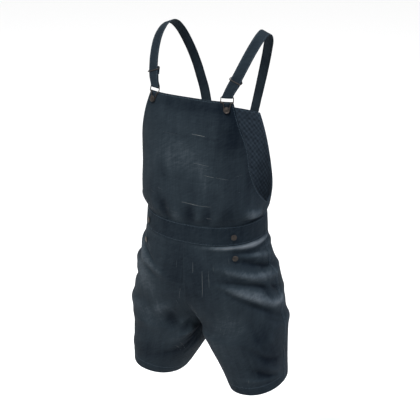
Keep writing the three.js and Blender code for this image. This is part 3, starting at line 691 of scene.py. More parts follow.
def speckle(tree, scale, detail):
    """Noise through the solid, with its scale per metre."""
    place = put(tree, "ShaderNodeTexCoord").outputs["Object"]
    return put(tree, "ShaderNodeTexNoise", {"Vector": place, "Scale": scale, "Detail": detail}).outputs["Fac"]


def bumps(tree, height, strength, distance):
    """The surface's direction with low bumps in it. The distance is their height in millimetres."""
    inputs = {"Height": height, "Strength": strength, "Distance": distance * MM}
    return put(tree, "ShaderNodeBump", inputs).outputs[0]


def attribute(tree, name):
    return put(tree, "ShaderNodeAttribute", attribute_name=name).outputs["Fac"]


TWILL_SLOPE = math.radians(-34)
TWILL_PITCH = 1.15 * MM
CHECK_PITCH = 14.0 * MM
CHECK_DEPTH = 0.28
DENIM_INDIGO = linear(1, 8, 17)
DENIM_WORN = linear(27, 35, 41)
DENIM_FADED = linear(50, 57, 63)
DENIM_PALE = linear(76, 81, 86)
DENIM_REVERSE = linear(40, 50, 60)
DENIM_REVERSE_DARK = linear(12, 18, 25)


def denim(name, lift=0.0, checked=False):
    """Twill coloured by the cloth's own "fade" values: its wear, with painted highlights and painted shade. A
    checked reverse shows where "lining" is 1.
    """
    material, tree, shader = blank_material(name)
    cut = put(tree, "ShaderNodeUVMap", uv_map="cut").outputs["UV"]
    turned = put(tree, "ShaderNodeMapping", {"Vector": cut, "Rotation": (0, 0, TWILL_SLOPE)}).outputs[0]

    def grain(vector, scale, detail=2.0, roughness=0.6):
        stretched = put(tree, "ShaderNodeMapping", {"Vector": vector, "Scale": (*scale, 1)}).outputs[0]
        noise = {"Vector": stretched, "Scale": 1.0, "Detail": detail, "Roughness": roughness}
        return put(tree, "ShaderNodeTexNoise", noise, noise_dimensions="2D").outputs["Fac"]

    wander = grain(cut, (260, 260))
    across = put(tree, "ShaderNodeSeparateXYZ", {0: turned}).outputs[1]
    across = calculate(tree, "ADD", across, calculate(tree, "MULTIPLY", wander, 0.5 * TWILL_PITCH))
    wave = calculate(tree, "SINE", calculate(tree, "MULTIPLY", across, 2 * math.pi / TWILL_PITCH))
    twill = calculate(tree, "MULTIPLY_ADD", wave, 0.5, 0.5)
    wales = grain(turned, (34, 215), 3.0)
    yarns = grain(cut, (560, 27), 3.0)
    picks = grain(cut, (22, 430), 3.0)
    streaks = grain(cut, (62, 7), 3.0)
    clouds = grain(cut, (17, 13), 4.0, 0.5)
    # The fade values carry the cloth's wear together with painted highlights and painted shade
    tone = attribute(tree, "fade")
    weights = (
        (wales, 0.26), (yarns, 0.22), (picks, 0.20), (streaks, 0.26), (clouds, 0.34), (twill, 0.08),
    )
    for value, weight in weights:
        centred = calculate(tree, "SUBTRACT", value, 0.5)
        tone = calculate(tree, "ADD", tone, calculate(tree, "MULTIPLY", centred, weight))
    tone = calculate(tree, "ADD", tone, lift)
    ramp = put(tree, "ShaderNodeValToRGB", {"Fac": tone})
    ramp.color_ramp.elements[0].color = DENIM_INDIGO
    ramp.color_ramp.elements[1].color = DENIM_PALE
    ramp.color_ramp.elements.new(0.5).color = DENIM_WORN
    ramp.color_ramp.elements.new(0.76).color = DENIM_FADED
    colour = ramp.outputs["Color"]
    if checked:
        parts = put(tree, "ShaderNodeSeparateXYZ", {0: cut})
        drift = calculate(tree, "MULTIPLY", clouds, 3.0)
        weave = []
        for k in (0, 1):
            turns = calculate(tree, "MULTIPLY_ADD", parts.outputs[k], 2 * math.pi / CHECK_PITCH, drift)
            weave.append(calculate(tree, "SINE", turns))
        check = calculate(tree, "MULTIPLY", weave[0], weave[1])
        check = calculate(tree, "MULTIPLY_ADD", check, CHECK_DEPTH, wales)
        inside = mixed(tree, check, DENIM_REVERSE_DARK, DENIM_REVERSE)
        colour = mixed(tree, attribute(tree, "lining"), colour, inside)
    height = calculate(tree, "ADD", calculate(tree, "MULTIPLY", twill, 0.6), yarns)
    height = calculate(tree, "ADD", height, calculate(tree, "MULTIPLY", wales, 0.8))
    feed(tree, shader, {
        "Base Color": colour,
        "Roughness": calculate(tree, "MULTIPLY_ADD", clouds, 0.12, 0.78),
        "Normal": bumps(tree, height, 0.55, 0.35),
        "Specular IOR Level": 0.07,
        "Sheen Weight": 0.02,
        "Sheen Roughness": 0.4,
        "Sheen Tint": linear(150, 165, 180),
    })
    return material


def yarn_finish(name, dark, light):
    """Thread or loose yarn. It is lighter where "shine" is higher."""
    material, tree, shader = blank_material(name)
    noise = speckle(tree, 900, 2)
    shade = calculate(tree, "MULTIPLY", calculate(tree, "SUBTRACT", noise, 0.5), 0.8)
    shade = calculate(tree, "ADD", shade, attribute(tree, "shine"))
    feed(tree, shader, {
        "Base Color": mixed(tree, shade, dark, light),
        "Roughness": 0.75,
        "Normal": bumps(tree, noise, 0.4, 0.1),
        "Specular IOR Level": 0.15,
    })
    return material


def bronze_finish(name):
    """Dull brown bronze, rubbed lighter in patches."""
    material, tree, shader = blank_material(name)
    grain = speckle(tree, 1400, 2)
    worn = calculate(tree, "MULTIPLY_ADD", speckle(tree, 160, 4), 1.6, -0.35)
    worn.node.use_clamp = True
    feed(tree, shader, {
        "Base Color": mixed(tree, worn, linear(24, 22, 21), linear(58, 52, 48)),
        "Roughness": calculate(tree, "MULTIPLY_ADD", grain, 0.25, 0.36),
        "Normal": bumps(tree, grain, 0.25, 0.1),
        "Metallic": 0.75,
    })
    return material


denim_cloth = denim("denim_twill")
denim_back = denim("denim_twill_checked_reverse", checked=True)
strap_cloth = denim("strap_twill", lift=0.02)
thread = yarn_finish("topstitch_thread", linear(62, 75, 86), linear(88, 102, 112))
pulled = yarn_finish("pulled_yarn", linear(30, 38, 44), linear(92, 96, 97))
bronze = bronze_finish("dull_bronze")


# Meshes

def make_mesh(name, points, quads, triangles=(), uv=None, marks=None):
    """A smooth mesh from points in millimetres, with per-point UVs and named values."""
    mesh = bpy.data.meshes.new(name)
    faces = [tuple(face) for face in np.asarray(quads, int)] + [tuple(face) for face in triangles]
    mesh.from_pydata((np.asarray(points, float) * MM).tolist(), [], faces)
    mesh.polygons.foreach_set("use_smooth", np.ones(len(mesh.polygons), bool))
    corner = np.zeros(len(mesh.loops), int)
    mesh.loops.foreach_get("vertex_index", corner)
    if uv is not None:
        layer = mesh.uv_layers.new(name="cut")
        layer.data.foreach_set("uv", (np.asarray(uv) * MM)[corner].ravel())
    for key, values in (marks or {}).items():
        made = mesh.attributes.new(key, "FLOAT", "POINT")
        made.data.foreach_set("value", np.asarray(values, np.float32).ravel())
    mesh.update()
    return mesh


def place_piece(name, mesh, material, nodes=()):
    """Adds a finished piece to the object."""
    piece = add_object(name, mesh)
    mesh.materials.append(material)
    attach(piece, BODY)
    if nodes:
        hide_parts(*nodes)
    return piece


def wall_faces(rows, columns):
    """Faces of a closed wall between two grids of points, the outer one first."""
    r, c = cells(rows - 1, columns - 1)

    def at(face, row, col):
        return face * rows * columns + row * columns + col

    faces = [
        np.stack([at(0, r, c), at(0, r + 1, c), at(0, r + 1, c + 1), at(0, r, c + 1)], -1),
        np.stack([at(1, r, c), at(1, r, c + 1), at(1, r + 1, c + 1), at(1, r + 1, c)], -1),
    ]
    r = np.arange(rows - 1)
    c = np.arange(columns - 1)
    end = columns - 1
    foot = rows - 1
    faces += [
        np.stack([at(0, r, 0), at(1, r, 0), at(1, r + 1, 0), at(0, r + 1, 0)], -1),
        np.stack([at(0, r, end), at(0, r + 1, end), at(1, r + 1, end), at(1, r, end)], -1),
        np.stack([at(0, 0, c), at(0, 0, c + 1), at(1, 0, c + 1), at(1, 0, c)], -1),
        np.stack([at(0, foot, c), at(1, foot, c), at(1, foot, c + 1), at(0, foot, c + 1)], -1),
    ]
    return np.concatenate(faces)


def grid_normals(grid):
    across = np.gradient(grid, axis=1)
    down = np.gradient(grid, axis=0)
    return unit(np.cross(down, across))


EDGE_SHARES = np.array([0.0, 0.0016, 0.0040])
INNER_SHARE = 0.009


def shares(count):
    """Even shares from 0 to 1 with close ones at each end, where the cloth rolls over its edge."""
    even_shares = np.linspace(INNER_SHARE, 1 - INNER_SHARE, count)
    return np.concatenate([EDGE_SHARES, even_shares, 1 - EDGE_SHARES[::-1]])


def grid_shares(counts):
    """Shares across a panel in a row, and down it in a column."""
    return shares(counts[0])[None, :], shares(counts[1])[:, None]


class Sewn:
    """A panel's grid of points with distances measured on the cloth, in millimetres."""

    def __init__(self, face):
        self.face = face
        self.outer = face
        self.inner = face
        self.piece = None
        side_steps = np.linalg.norm(np.diff(face, axis=1), axis=-1)
        down_steps = np.linalg.norm(np.diff(face, axis=0), axis=-1)
        from_left = np.pad(np.cumsum(side_steps, axis=1), ((0, 0), (1, 0)))
        from_top = np.pad(np.cumsum(down_steps, axis=0), ((1, 0), (0, 0)))
        self.left = from_left
        self.right = from_left[:, -1:] - from_left
        self.top = from_top
        self.bottom = from_top[-1:] - from_top
        self.across = from_left - from_left[:, face.shape[1] // 2][:, None]
        self.edge = np.minimum(np.minimum(self.left, self.right), np.minimum(self.top, self.bottom))

    def beside(self, edge, inset, face="outer", part=(0, 1)):
        """A line on the finished cloth at a distance from one edge, or a part of that line."""
        grid = getattr(self, face)
        distance = getattr(self, edge)
        if edge in ("top", "bottom"):
            grid = grid.transpose(1, 0, 2)
            distance = distance.T
        if edge in ("right", "bottom"):
            grid = grid[:, ::-1]
            distance = distance[:, ::-1]
        line = [[np.interp(inset, far, at[:, k]) for k in range(3)] for far, at in zip(distance, grid)]
        last = len(line) - 1
        rolled = len(EDGE_SHARES)
        return even(line[rolled + int(part[0] * last):1 + int(part[1] * last) - rolled])


def sew(name, sewn, lift, thickness, fade, material, middle=None):
    """Makes a panel's shell: the outer face lifted by its relief, an inner face, and rolled edges.

    Middle picks the points of a seam edge that meet the other side's panel in the middle plane.
    """
    normal = grid_normals(sewn.face)
    reach = np.minimum(thickness / 2, EDGE_ROLL)
    near = np.clip(1 - sewn.edge / reach, 0, 1)
    roll = reach * 0.8 * (1 - np.sqrt(1 - near**2))
    outer = sewn.face + normal * (lift - roll)[..., None]
    inner = sewn.face + normal * (lift - thickness + roll)[..., None]
    if middle is not None:
        outer[middle, 0] = 0
        inner[middle, 0] = 0
    rows, columns = sewn.edge.shape
    points = np.concatenate([outer.reshape(-1, 3), inner.reshape(-1, 3)])
    cut = np.stack([sewn.across, -sewn.top], -1).reshape(-1, 2)
    lining = np.repeat([0.0, 1.0], rows * columns)
    # The fade values hold the cloth's wear together with painted highlights and painted shade; both faces get
    # the same
    faded_and_painted_tones = np.concatenate([fade.ravel(), fade.ravel()])
    mesh = make_mesh(name, points, wall_faces(rows, columns), uv=np.concatenate([cut, cut]),
                     marks={"fade": faded_and_painted_tones, "lining": lining})
    sewn.outer = outer + normal * STITCH_PROUD
    sewn.inner = inner - normal * STITCH_PROUD
    sewn.piece = place_piece(f"{name}_cloth", mesh, material, [name])
    return sewn


HEM_STEP = 0.35
STEP_WIDTH = 2.5
ROPE_PITCH = 7.3
ROPE_SLANT = 0.7
ROPE_HEIGHT = 0.22
SEAM_STEP = 0.45
PUCKER_PITCH = 8.6
PUCKER_HEIGHT = 0.16
WEAR_AMOUNT = 0.16
WEAR_REACH = 2.2
EDGE_HEM = EDGE_STITCH + STEP_WIDTH


def rope(distance, along, seed):
    """Slanting ripples, 1 high, along a hem whose layers were fed unevenly."""
    return np.sin(2 * np.pi * (along + ROPE_SLANT * distance) / (ROPE_PITCH + seed) + seed)


def hem_relief(distance, along, depth, seed):
    """A turned hem: it stands a little proud, pulls in at its stitching and ropes along its length."""
    step = HEM_STEP * (1 - smooth((distance - depth + 1) / STEP_WIDTH))
    pulled_in = -HEM_STEP * bell(distance - depth + STEP_WIDTH, 1.8)
    slower = 0.6 * np.sin(2 * np.pi * (along + 0.9 * distance) / (11.7 - seed) + 2 * seed)
    inside = bell(distance - 0.5 * depth, 0.36 * depth)
    return step + pulled_in + ROPE_HEIGHT * (rope(distance, along, seed) + slower) * inside


def seam_relief(distance, along, width, seed):
    """A felled seam: doubled cloth beside the seam, puckered by its two rows of stitching."""
    step = SEAM_STEP * (1 - smooth((distance - width) / STEP_WIDTH))
    waves = np.sin(2 * np.pi * along / (PUCKER_PITCH + seed) + seed)
    return step + PUCKER_HEIGHT * waves * bell(distance - width, 6)


def edge_wear(distance, along, seed):
    """Rubbed edges: lighter in uneven short stretches."""
    uneven = 0.55 + 0.45 * np.sin(along / (4.1 + seed) + seed) * np.sin(along / 13.7 + 3 * seed)
    return WEAR_AMOUNT * uneven * bell(distance, WEAR_REACH)


def spots(rows, across, down):
    """Faded places, painted highlights and painted shade: soft ellipses."""
    total = np.zeros(np.broadcast(across, down).shape)
    for row in rows_of(rows):
        square = ((across - row["place"]) / row["reach"]) ** 2 + ((down - row["z"]) / row["reach_z"]) ** 2
        total += row["amount"] * np.exp(-square)
    return total


BASE_FADE = 0.32
# The next three scale painted highlight on fold crests and painted shade in fold troughs by the folds'
# height: on the legs, extra for the legs' finer creases, and on the trunk.
RIDGE_PAINTED_SHADING = 0.042
CREASE_PAINTED_SHADING_WEIGHT = 1.8
TRUNK_RIDGE_PAINTED_SHADING = 0.05
BAND_DARKER = 0.12
PATCH_SIDE = -16.3
PATCH_FAR_SIDE = 22
PATCH_TOP = -218
PATCH_BOTTOM = -320
PATCH_CORNER = 12
PATCH_DEGREE = 2.7


def beyond_patch(degrees, z):
    """How far a place lies outside a patch with round corners in the middle of the bib."""
    x = np.abs(degrees - (PATCH_SIDE + PATCH_FAR_SIDE) / 2) * PATCH_DEGREE
    y = np.abs(z - (PATCH_TOP + PATCH_BOTTOM) / 2)
    half_x = (PATCH_FAR_SIDE - PATCH_SIDE) / 2 * PATCH_DEGREE - PATCH_CORNER
    half_y = (PATCH_TOP - PATCH_BOTTOM) / 2 - PATCH_CORNER
    outside = np.hypot(np.maximum(x - half_x, 0), np.maximum(y - half_y, 0)) - PATCH_CORNER
    return outside + np.minimum(np.maximum(x - half_x, y - half_y), 0)


def trunk_panel(name, middle, top, edges, counts, tone_spots, seeds, material, patch=False):
    """The bib or the back panel. A doubled patch behind the cloth leaves a faint line in it."""
    u, v = grid_shares(counts)
    z = top + (BAND_TOP + SEAM_GAP - top) * v
    edge = np.radians(column(edges, "angle", z)) - SEAM_GAP / 2 / column(TRUNK, "half", z)
    angle = middle + (2 * u - 1) * edge
    degrees = np.degrees(angle)
    sewn = Sewn(trunk_surface(angle, z))
    side = np.minimum(sewn.left, sewn.right)
    lift = hem_relief(sewn.top, sewn.across, EDGE_HEM, seeds[0])
    lift = lift + hem_relief(side, sewn.top, EDGE_HEM, seeds[1])
    hems = np.maximum(1 - smooth((sewn.top - BIB_HEM) / 2), 1 - smooth((side - ARM_HEM) / 2))
    thickness = CLOTH + (HEM_CLOTH - CLOTH) * hems
    # Painted highlight on the trunk's fold crests and painted shade in its troughs, from the folds' height
    fade = BASE_FADE + spots(tone_spots, degrees, z) + TRUNK_RIDGE_PAINTED_SHADING * trunk_lift(angle, z)
    fade = fade + edge_wear(sewn.top, sewn.across, seeds[2]) + edge_wear(side, sewn.top, seeds[3])
    if patch:
        outside = beyond_patch(degrees, z)
        lift = lift - 0.25 * bell(outside, 2.0)
        fade = fade - 0.07 * bell(outside, 2.2) - 0.06 * bell(side - ARM_HEM, 6)
    return sew(name, sewn, lift, thickness, fade, material)


def waistband(name, middle, seed):
    """The front or the back half of the waistband, folded double and puckered along its stitching."""
    u, v = grid_shares(BAND_GRID)
    z = BAND_TOP + (BAND_BOTTOM - BAND_TOP) * v
    seam = SEAM_GAP / 2 / column(TRUNK, "half", z)
    angle = middle + (2 * u - 1) * (np.pi / 2 - seam)
    sewn = Sewn(band_surface(angle, z))
    long_edge = np.minimum(sewn.top, sewn.bottom)
    along = sewn.across
    pull = -0.3 * bell(long_edge - BAND_STITCH, 1.6)
    pucker = 0.28 * np.sin(2 * np.pi * (along + 0.5 * sewn.top) / (9.1 + seed) + seed)
    pucker *= bell(long_edge - 2 * BAND_STITCH, 5)
    waves = 0.5 * np.sin(along / (27 + 5 * seed) + seed)
    waves = waves * np.sin(np.pi * sewn.top / (BAND_TOP - BAND_BOTTOM))
    fade = BASE_FADE - BAND_DARKER + 0.05 * np.sin(along / 31 + seed) + 0.16 * pucker
    fade = fade + edge_wear(long_edge, along, seed) + 0.09 * bell(np.abs(along) - 150, 50)
    thickness = np.full(long_edge.shape, float(BAND_CLOTH))
    return sew(name, sewn, pull + pucker + waves, thickness, fade, denim_cloth)


def leg_panel(name, side, start, seed):
    """A leg's front panel, which starts at 0 around the leg, or its back panel, which starts at 1."""
    u, v = grid_shares(LEG_GRID)
    outer_seam = SEAM_GAP / 2 / LEG_GIRTH
    share = u if side > 0 else 1 - u
    around = start * (1 + outer_seam) + (1 - outer_seam) * share
    z = BAND_BOTTOM - SEAM_GAP + (HEM - BAND_BOTTOM + SEAM_GAP) * v
    sewn = Sewn(leg_surface(side, around, z))
    sewn.face[..., 0] = side * np.maximum(side * sewn.face[..., 0], 0)
    crotch_on_left = (side > 0) == (start == 0)
    crotch_side = sewn.left if crotch_on_left else sewn.right
    outer_side = sewn.right if crotch_on_left else sewn.left
    middle = np.zeros(sewn.edge.shape, bool)
    middle[z[:, 0] > CROTCH, 0 if crotch_on_left else -1] = True
    lift = hem_relief(sewn.bottom, sewn.across, LEG_HEM, seed)
    if start:
        lift = lift + 0.6 * seam_relief(outer_side, sewn.top, FELL, seed)
    else:
        lift = lift + 0.4 * seam_relief(crotch_side, sewn.top, FELL, seed)
    thickness = CLOTH + (HEM_CLOTH - CLOTH) * (1 - smooth((sewn.bottom - LEG_HEM) / 2))
    fade = BASE_FADE + spots(LEFT_FADING_AND_PAINTED_SHADING if side > 0 else RIGHT_FADING_AND_PAINTED_SHADING, around, z)
    # Painted highlight on the leg's fold crests and painted shade in its troughs, from the folds' height,
    # stronger for the finer creases
    fade = fade + RIDGE_PAINTED_SHADING * leg_lift(side, around, z, CREASE_PAINTED_SHADING_WEIGHT)
    fade = fade + 0.05 * rope(sewn.bottom, sewn.across, seed) * bell(sewn.bottom - LEG_HEM / 2, 9)
    fade = fade + edge_wear(sewn.bottom, sewn.across, seed) + 0.6 * edge_wear(crotch_side, sewn.top, seed)
    fade = fade + 0.3 * edge_wear(outer_side, sewn.top, 1 + seed)
    return sew(name, sewn, lift, thickness, fade, denim_cloth, middle)


# Routes of straps and wires

class Route:
    """A smooth curve through points, with centripetal spacing."""

    def __init__(self, points, closed=False):
        points = np.asarray(points, float)
        self.closed = closed
        self.count = len(points)
        if closed:
            self.padded = np.concatenate([points[-1:], points, points[:2]])
        else:
            first = 2 * points[:1] - points[1:2]
            last = 2 * points[-1:] - points[-2:-1]
            self.padded = np.concatenate([first, points, last])
        t = np.linspace(0, 1, 201)
        steps = np.linalg.norm(np.diff(self.at(t), axis=0), axis=1)
        self.marks = t
        self.lengths = np.concatenate([[0], np.cumsum(steps)])
        self.length = self.lengths[-1]

    def at(self, t):
        spans = self.count if self.closed else self.count - 1
        place = np.clip(np.asarray(t, float), 0, 1) * spans
        i = np.minimum(np.floor(place).astype(int), spans - 1)
        w = (place - i)[..., None]
        p0, p1, p2, p3 = (self.padded[i + k] for k in range(4))

        def gap(a, b):
            return np.sqrt(np.linalg.norm(b - a, axis=-1, keepdims=True))

        d1 = gap(p1, p2)
        d1 = np.where(d1 < 1e-4, 1.0, d1)
        d0 = gap(p0, p1)
        d0 = np.where(d0 < 1e-4, d1, d0)
        d2 = gap(p2, p3)
        d2 = np.where(d2 < 1e-4, d1, d2)
        t1 = d1 * ((p1 - p0) / d0 - (p2 - p0) / (d0 + d1) + (p2 - p1) / d1)
        t2 = d1 * ((p2 - p1) / d1 - (p3 - p1) / (d1 + d2) + (p3 - p2) / d2)
        bend = (-3 * p1 + 3 * p2 - 2 * t1 - t2) * w**2 + (2 * p1 - 2 * p2 + t1 + t2) * w**3
        return p1 + t1 * w + bend

    def at_share(self, share):
        """A point at a share of the length, with its place on the curve."""
        t = np.interp(np.asarray(share) * self.length, self.lengths, self.marks)
        return self.at(t), t


def place_on(point, out):
    """A fitting's own directions on the cloth: down it, out from it and across it."""
    down = np.array([0.0, 0.0, -1.0])
    down = unit(down - out * np.dot(down, out))
    return {"at": point, "out": out, "down": down, "across": np.cross(out, down)}


def trunk_place(x, z, front):
    square = column(TRUNK, "square_front" if front else "square_back", z)
    angle = float(np.arcsin((x / column(TRUNK, "half", z)) ** (square / 2)))
    angle = angle if front else np.pi - angle
    return surface_place(trunk_surface, angle, z)


def surface_place(surface, angle, z):
    out = normal_at(surface, np.float64(angle), np.float64(z), SURFACE_STEP / 100, SURFACE_STEP)
    return surface(np.float64(angle), np.float64(z)), out


clip_place = place_on(*trunk_place(BIB_BUTTON_X, BIB_BUTTON_Z, True))
wire_out = WIRE_GAP + WIRE / 2
wrap_radius = WIRE / 2 + WIRE_GAP + STRAP_CLOTH / 2
bar_down = CLIP_WIRE["down"][0] - 1


def on_clip(across, down, out):
    point = clip_place["at"] + clip_place["across"] * across
    return point + clip_place["down"] * down + clip_place["out"] * out


def strap_routes():
    """The strap's middle line and the direction of its width, from its sewn end to the clip's bar."""
    points = []
    widths = []
    for row in rows_of(STRAP_END):
        at, out = trunk_place(row["x"], row["z"], False)
        points.append(at + out * (STRAP_OFF_PANEL + STRAP_CLOTH / 2))
        widths.append(unit(-np.cross((0, 0, 1), out)))
    for row in rows_of(STRAP):
        tip = math.radians(row["tip"])
        turn = math.radians(row["turn"])
        points.append((row["x"], row["y"], row["z"]))
        widths.append((math.cos(tip) * math.cos(turn), math.cos(tip) * math.sin(turn), -math.sin(tip)))
    points.append(on_clip(0, bar_down, wire_out + wrap_radius))
    widths.append(clip_place["across"])
    return Route(points), Route(widths)


strap_line, strap_widths = strap_routes()


def beside_strap(up, out):
    """Places beside the strap: up along it from the clip's bar, and out from its middle line."""
    up = np.asarray(up, float)
    point, t = strap_line.at_share(np.clip(1 - up / strap_line.length, 0, 1))
    along = unit(strap_line.at(t + 1e-4) - strap_line.at(t - 1e-4))
    width = strap_widths.at(t)
    level = (width * along).sum(-1) * smooth(up / SLIDER_UP)
    width = unit(width - along * level[..., None])
    outwards = unit(np.cross(along, width))
    share = (1 - smooth(up / BAR_BLEND))[..., None]
    outwards = unit(outwards + (clip_place["out"] - outwards) * share)
    point = point + outwards * np.asarray(out, float)[..., None]
    point = point + clip_place["down"] * np.maximum(-up, 0)[..., None]
    return point, width


def wrap_steps(up, out, downwards):
    """Steps of half a turn round a bar, towards the body."""
    steps = []
    for k in range(WRAP_STEPS + 1):
        turn = math.pi * k / WRAP_STEPS
        rise = (-1 if downwards else 1) * wrap_radius * math.sin(turn)
        steps.append((up + rise, out - wrap_radius + wrap_radius * math.cos(turn)))
    return steps


def strap_path():
    """The strap from its sewn end to its tail: over the shoulder, round the clip's bar and the slider's."""
    inner_out = -(STRAP_CLOTH + LAYER_GAP)
    slider_back = SLIDER_UP + SLIDER_TILT
    over = np.linspace(strap_line.length, SLIDER_UP + 8, STRAP_STATIONS + 1)
    down = (SLIDER_UP, SLIDER_UP * 0.66, SLIDER_UP * 0.33, 4)
    path = [(up, 0) for up in (*over, *down)]
    path += wrap_steps(0, 0, True)
    path += [(5, -4.4), (12, inner_out), (SLIDER_UP * 0.6, inner_out), (slider_back - 6, inner_out)]
    path += wrap_steps(slider_back, inner_out, False)
    path += [(slider_back - 5, 2 * inner_out - 1.4), (slider_back - STRAP_TAIL, 2 * inner_out)]
    return Route(path)


def mirrored(points, side):
    return points * (side, 1, 1)


STRAP_EDGE_STITCH = 2.6
STRAP_SECTION = np.array([12.5, 12.2, 11.6, 10.7, 9.9, 9.0, 6.0, 3.0])
STRAP_STEPS = 420


def strap(side_name, side, seed):
    """A strap: a flat tube of cloth with round edges, swept along its route. It is drawn on the left."""
    route = strap_path()
    place = np.linspace(0, 1, STRAP_STEPS)
    up_out = route.at(np.interp(place * route.length, route.lengths, route.marks))
    point, width = beside_strap(up_out[:, 0], up_out[:, 1])
    along = unit(np.gradient(point, axis=0))
    face = unit(np.cross(along, width))
    across = np.concatenate([-STRAP_SECTION, [0.0], STRAP_SECTION[::-1]])
    from_edge = STRAP_WIDTH / 2 - np.abs(across)
    half = STRAP_CLOTH / 2
    rounding = np.sqrt(np.clip(1 - (np.clip(half - from_edge, 0, half) / half) ** 2, 0.02, 1))
    sunk = 0.28 * bell(from_edge - STRAP_EDGE_STITCH, 0.9)
    thick = half * rounding - sunk
    run = place * route.length
    ripple_out = 0.10 * np.sin(run / (3.1 + seed) + seed) + 0.14 * np.sin(run / 7.3 + 2 * seed)
    ripple_out = ripple_out[:, None] * bell(from_edge - 3, 4)[None, :]
    middle = point[:, None, :] + width[:, None, :] * across[None, :, None]
    outer = middle + face[:, None, :] * (thick[None, :] + ripple_out)[..., None]
    inner = middle - face[:, None, :] * (thick[None, :] - ripple_out)[..., None]
    rows, columns = ripple_out.shape
    points = mirrored(np.concatenate([outer.reshape(-1, 3), inner.reshape(-1, 3)]), side)
    uv = np.stack(np.broadcast_arrays(across[None, :], -run[:, None]), -1).reshape(-1, 2)
    along_fade = BASE_FADE - 0.04 + 0.05 * np.sin(run / 41 + seed)
    across_fade = 0.10 * bell(from_edge, 1.2) - 0.08 * bell(from_edge - STRAP_EDGE_STITCH, 1.1)
    fade = along_fade[:, None] + across_fade[None, :]
    marks = {"fade": np.concatenate([fade.ravel()] * 2), "lining": np.zeros(len(points))}
    faces = wall_faces(rows, columns)
    if side < 0:
        faces = faces[:, ::-1]
    name = f"{side_name}_strap"
    mesh = make_mesh(name, points, faces, uv=np.concatenate([uv, uv]), marks=marks)
    return place_piece(f"{name}_band", mesh, strap_cloth, [name])


def circles(across, up, sides):
    """Rings of points, 1 in radius, in the planes of two directions."""
    turn = 2 * np.pi * np.arange(sides) / sides
    return np.cos(turn)[:, None] * across[:, None, :] + np.sin(turn)[:, None] * up[:, None, :]


def ring_faces(rings, sides, closed=False):
    """Faces between rings of points that follow each other."""
    i, k = cells(rings if closed else rings - 1, sides)
    j = (i + 1) % rings
    m = (k + 1) % sides
    return np.stack([i * sides + k, j * sides + k, j * sides + m, i * sides + m], -1)


def tube(points, normal, thickness, sides):
    """A closed wire along a loop that nearly lies in a plane with the given normal."""
    along = unit(np.roll(points, -1, axis=0) - np.roll(points, 1, axis=0))
    side = unit(np.cross(along, normal))
    skin = points[:, None, :] + circles(side, np.cross(side, along), sides) * thickness / 2
    return skin.reshape(-1, 3), ring_faces(len(points), sides, closed=True)


def spaced_loop(points, steps):
    route = Route(points, closed=True)
    return route.at_share(np.linspace(0, 1, steps + 1)[:-1])[0]


def add_metal(node, points, faces, triangles=()):
    place_piece(f"{node}_metal", make_mesh(node, points, faces, triangles), bronze, [node])


def add_pair(name, points, faces, triangles=()):
    """A left-hand fitting and its right-hand twin."""
    add_metal(f"left_{name}", points, faces, triangles)
    add_metal(f"right_{name}", mirrored(points, -1), faces[:, ::-1], [face[::-1] for face in triangles])


def clips():
    """Wire loops that hook over the bib's buttons. A bar across the top carries the strap."""
    half = [on_clip(row["across"], row["down"], wire_out) for row in rows_of(CLIP_WIRE)]
    rest = [on_clip(-row["across"], row["down"], wire_out) for row in rows_of(CLIP_WIRE)][::-1]
    bar = [on_clip(across, bar_down, wire_out) for across in (-CLIP_BAR_REACH, 0, CLIP_BAR_REACH)]
    loop = spaced_loop([*half, *rest, *bar], CLIP_STEPS)
    add_pair("clip", *tube(loop, clip_place["out"], CLIP_THICKNESS, WIRE_SIDES))


def sliders():
    """Wire frames with one bar in front of the strap and one behind it."""
    front_out = STRAP_CLOTH / 2 + wire_out
    back_out = -(STRAP_CLOTH + LAYER_GAP) - wrap_radius
    back = SLIDER_UP + SLIDER_TILT
    reach = STRAP_WIDTH / 2 + wire_out
    bar_end = STRAP_WIDTH / 2 - 0.2

    def corner(across, up, out):
        point, width = beside_strap(up, out)
        return point + width * across

    middle = ((SLIDER_UP + back) / 2, (front_out + back_out) / 2)
    front_bar = [corner(across, SLIDER_UP, front_out) for across in (-reach, -bar_end, bar_end, reach)]
    back_bar = [corner(across, back, back_out) for across in (reach, bar_end, -bar_end, -reach)]
    loop = [*front_bar, corner(reach + 0.8, *middle), *back_bar, corner(-reach - 0.8, *middle)]
    upwards = unit(corner(0, back, front_out) - corner(0, SLIDER_UP, back_out))
    add_pair("slider", *tube(spaced_loop(loop, SLIDER_STEPS), upwards, WIRE, WIRE_SIDES))


def button_mesh(place, shape):
    """A turned button on a place: points, faces and end caps."""
    radius = shape["radius"]
    out = shape["out"]
    ring = circles(place["across"][None], place["down"][None], BUTTON_SEGMENTS)
    points = place["at"] + ring * radius[:, None, None] + place["out"] * out[:, None, None]
    points = points.reshape(-1, 3)
    centres = place["at"] + place["out"] * np.array([out[0], out[-1]])[:, None]
    count = len(points)
    top = count - BUTTON_SEGMENTS
    caps = []
    for i in range(BUTTON_SEGMENTS):
        j = (i + 1) % BUTTON_SEGMENTS
        caps.append((count, i, j))
        caps.append((count + 1, top + j, top + i))
    return np.concatenate([points, centres]), ring_faces(len(radius), BUTTON_SEGMENTS), caps


def leg_face(angle, z):
    """A leg's outer face by the angle from the middle of the front, as on the trunk."""
    return leg_surface(1 if angle > 0 else -1, np.abs(angle) / (np.pi / 2), z)


def buttons():
    add_pair("bib_button", *button_mesh(clip_place, BIB_BUTTON_SHAPE))
    for name, (angle, z) in SIDE_BUTTONS.items():
        surface = band_surface if z > BAND_BOTTOM else leg_face
        for side_name, side in SIDES:
            at, out = surface_place(surface, side * math.radians(angle), z)
            add_metal(f"{side_name}_{name}", *button_mesh(place_on(at, out), SIDE_BUTTON_SHAPE))


# Stitching

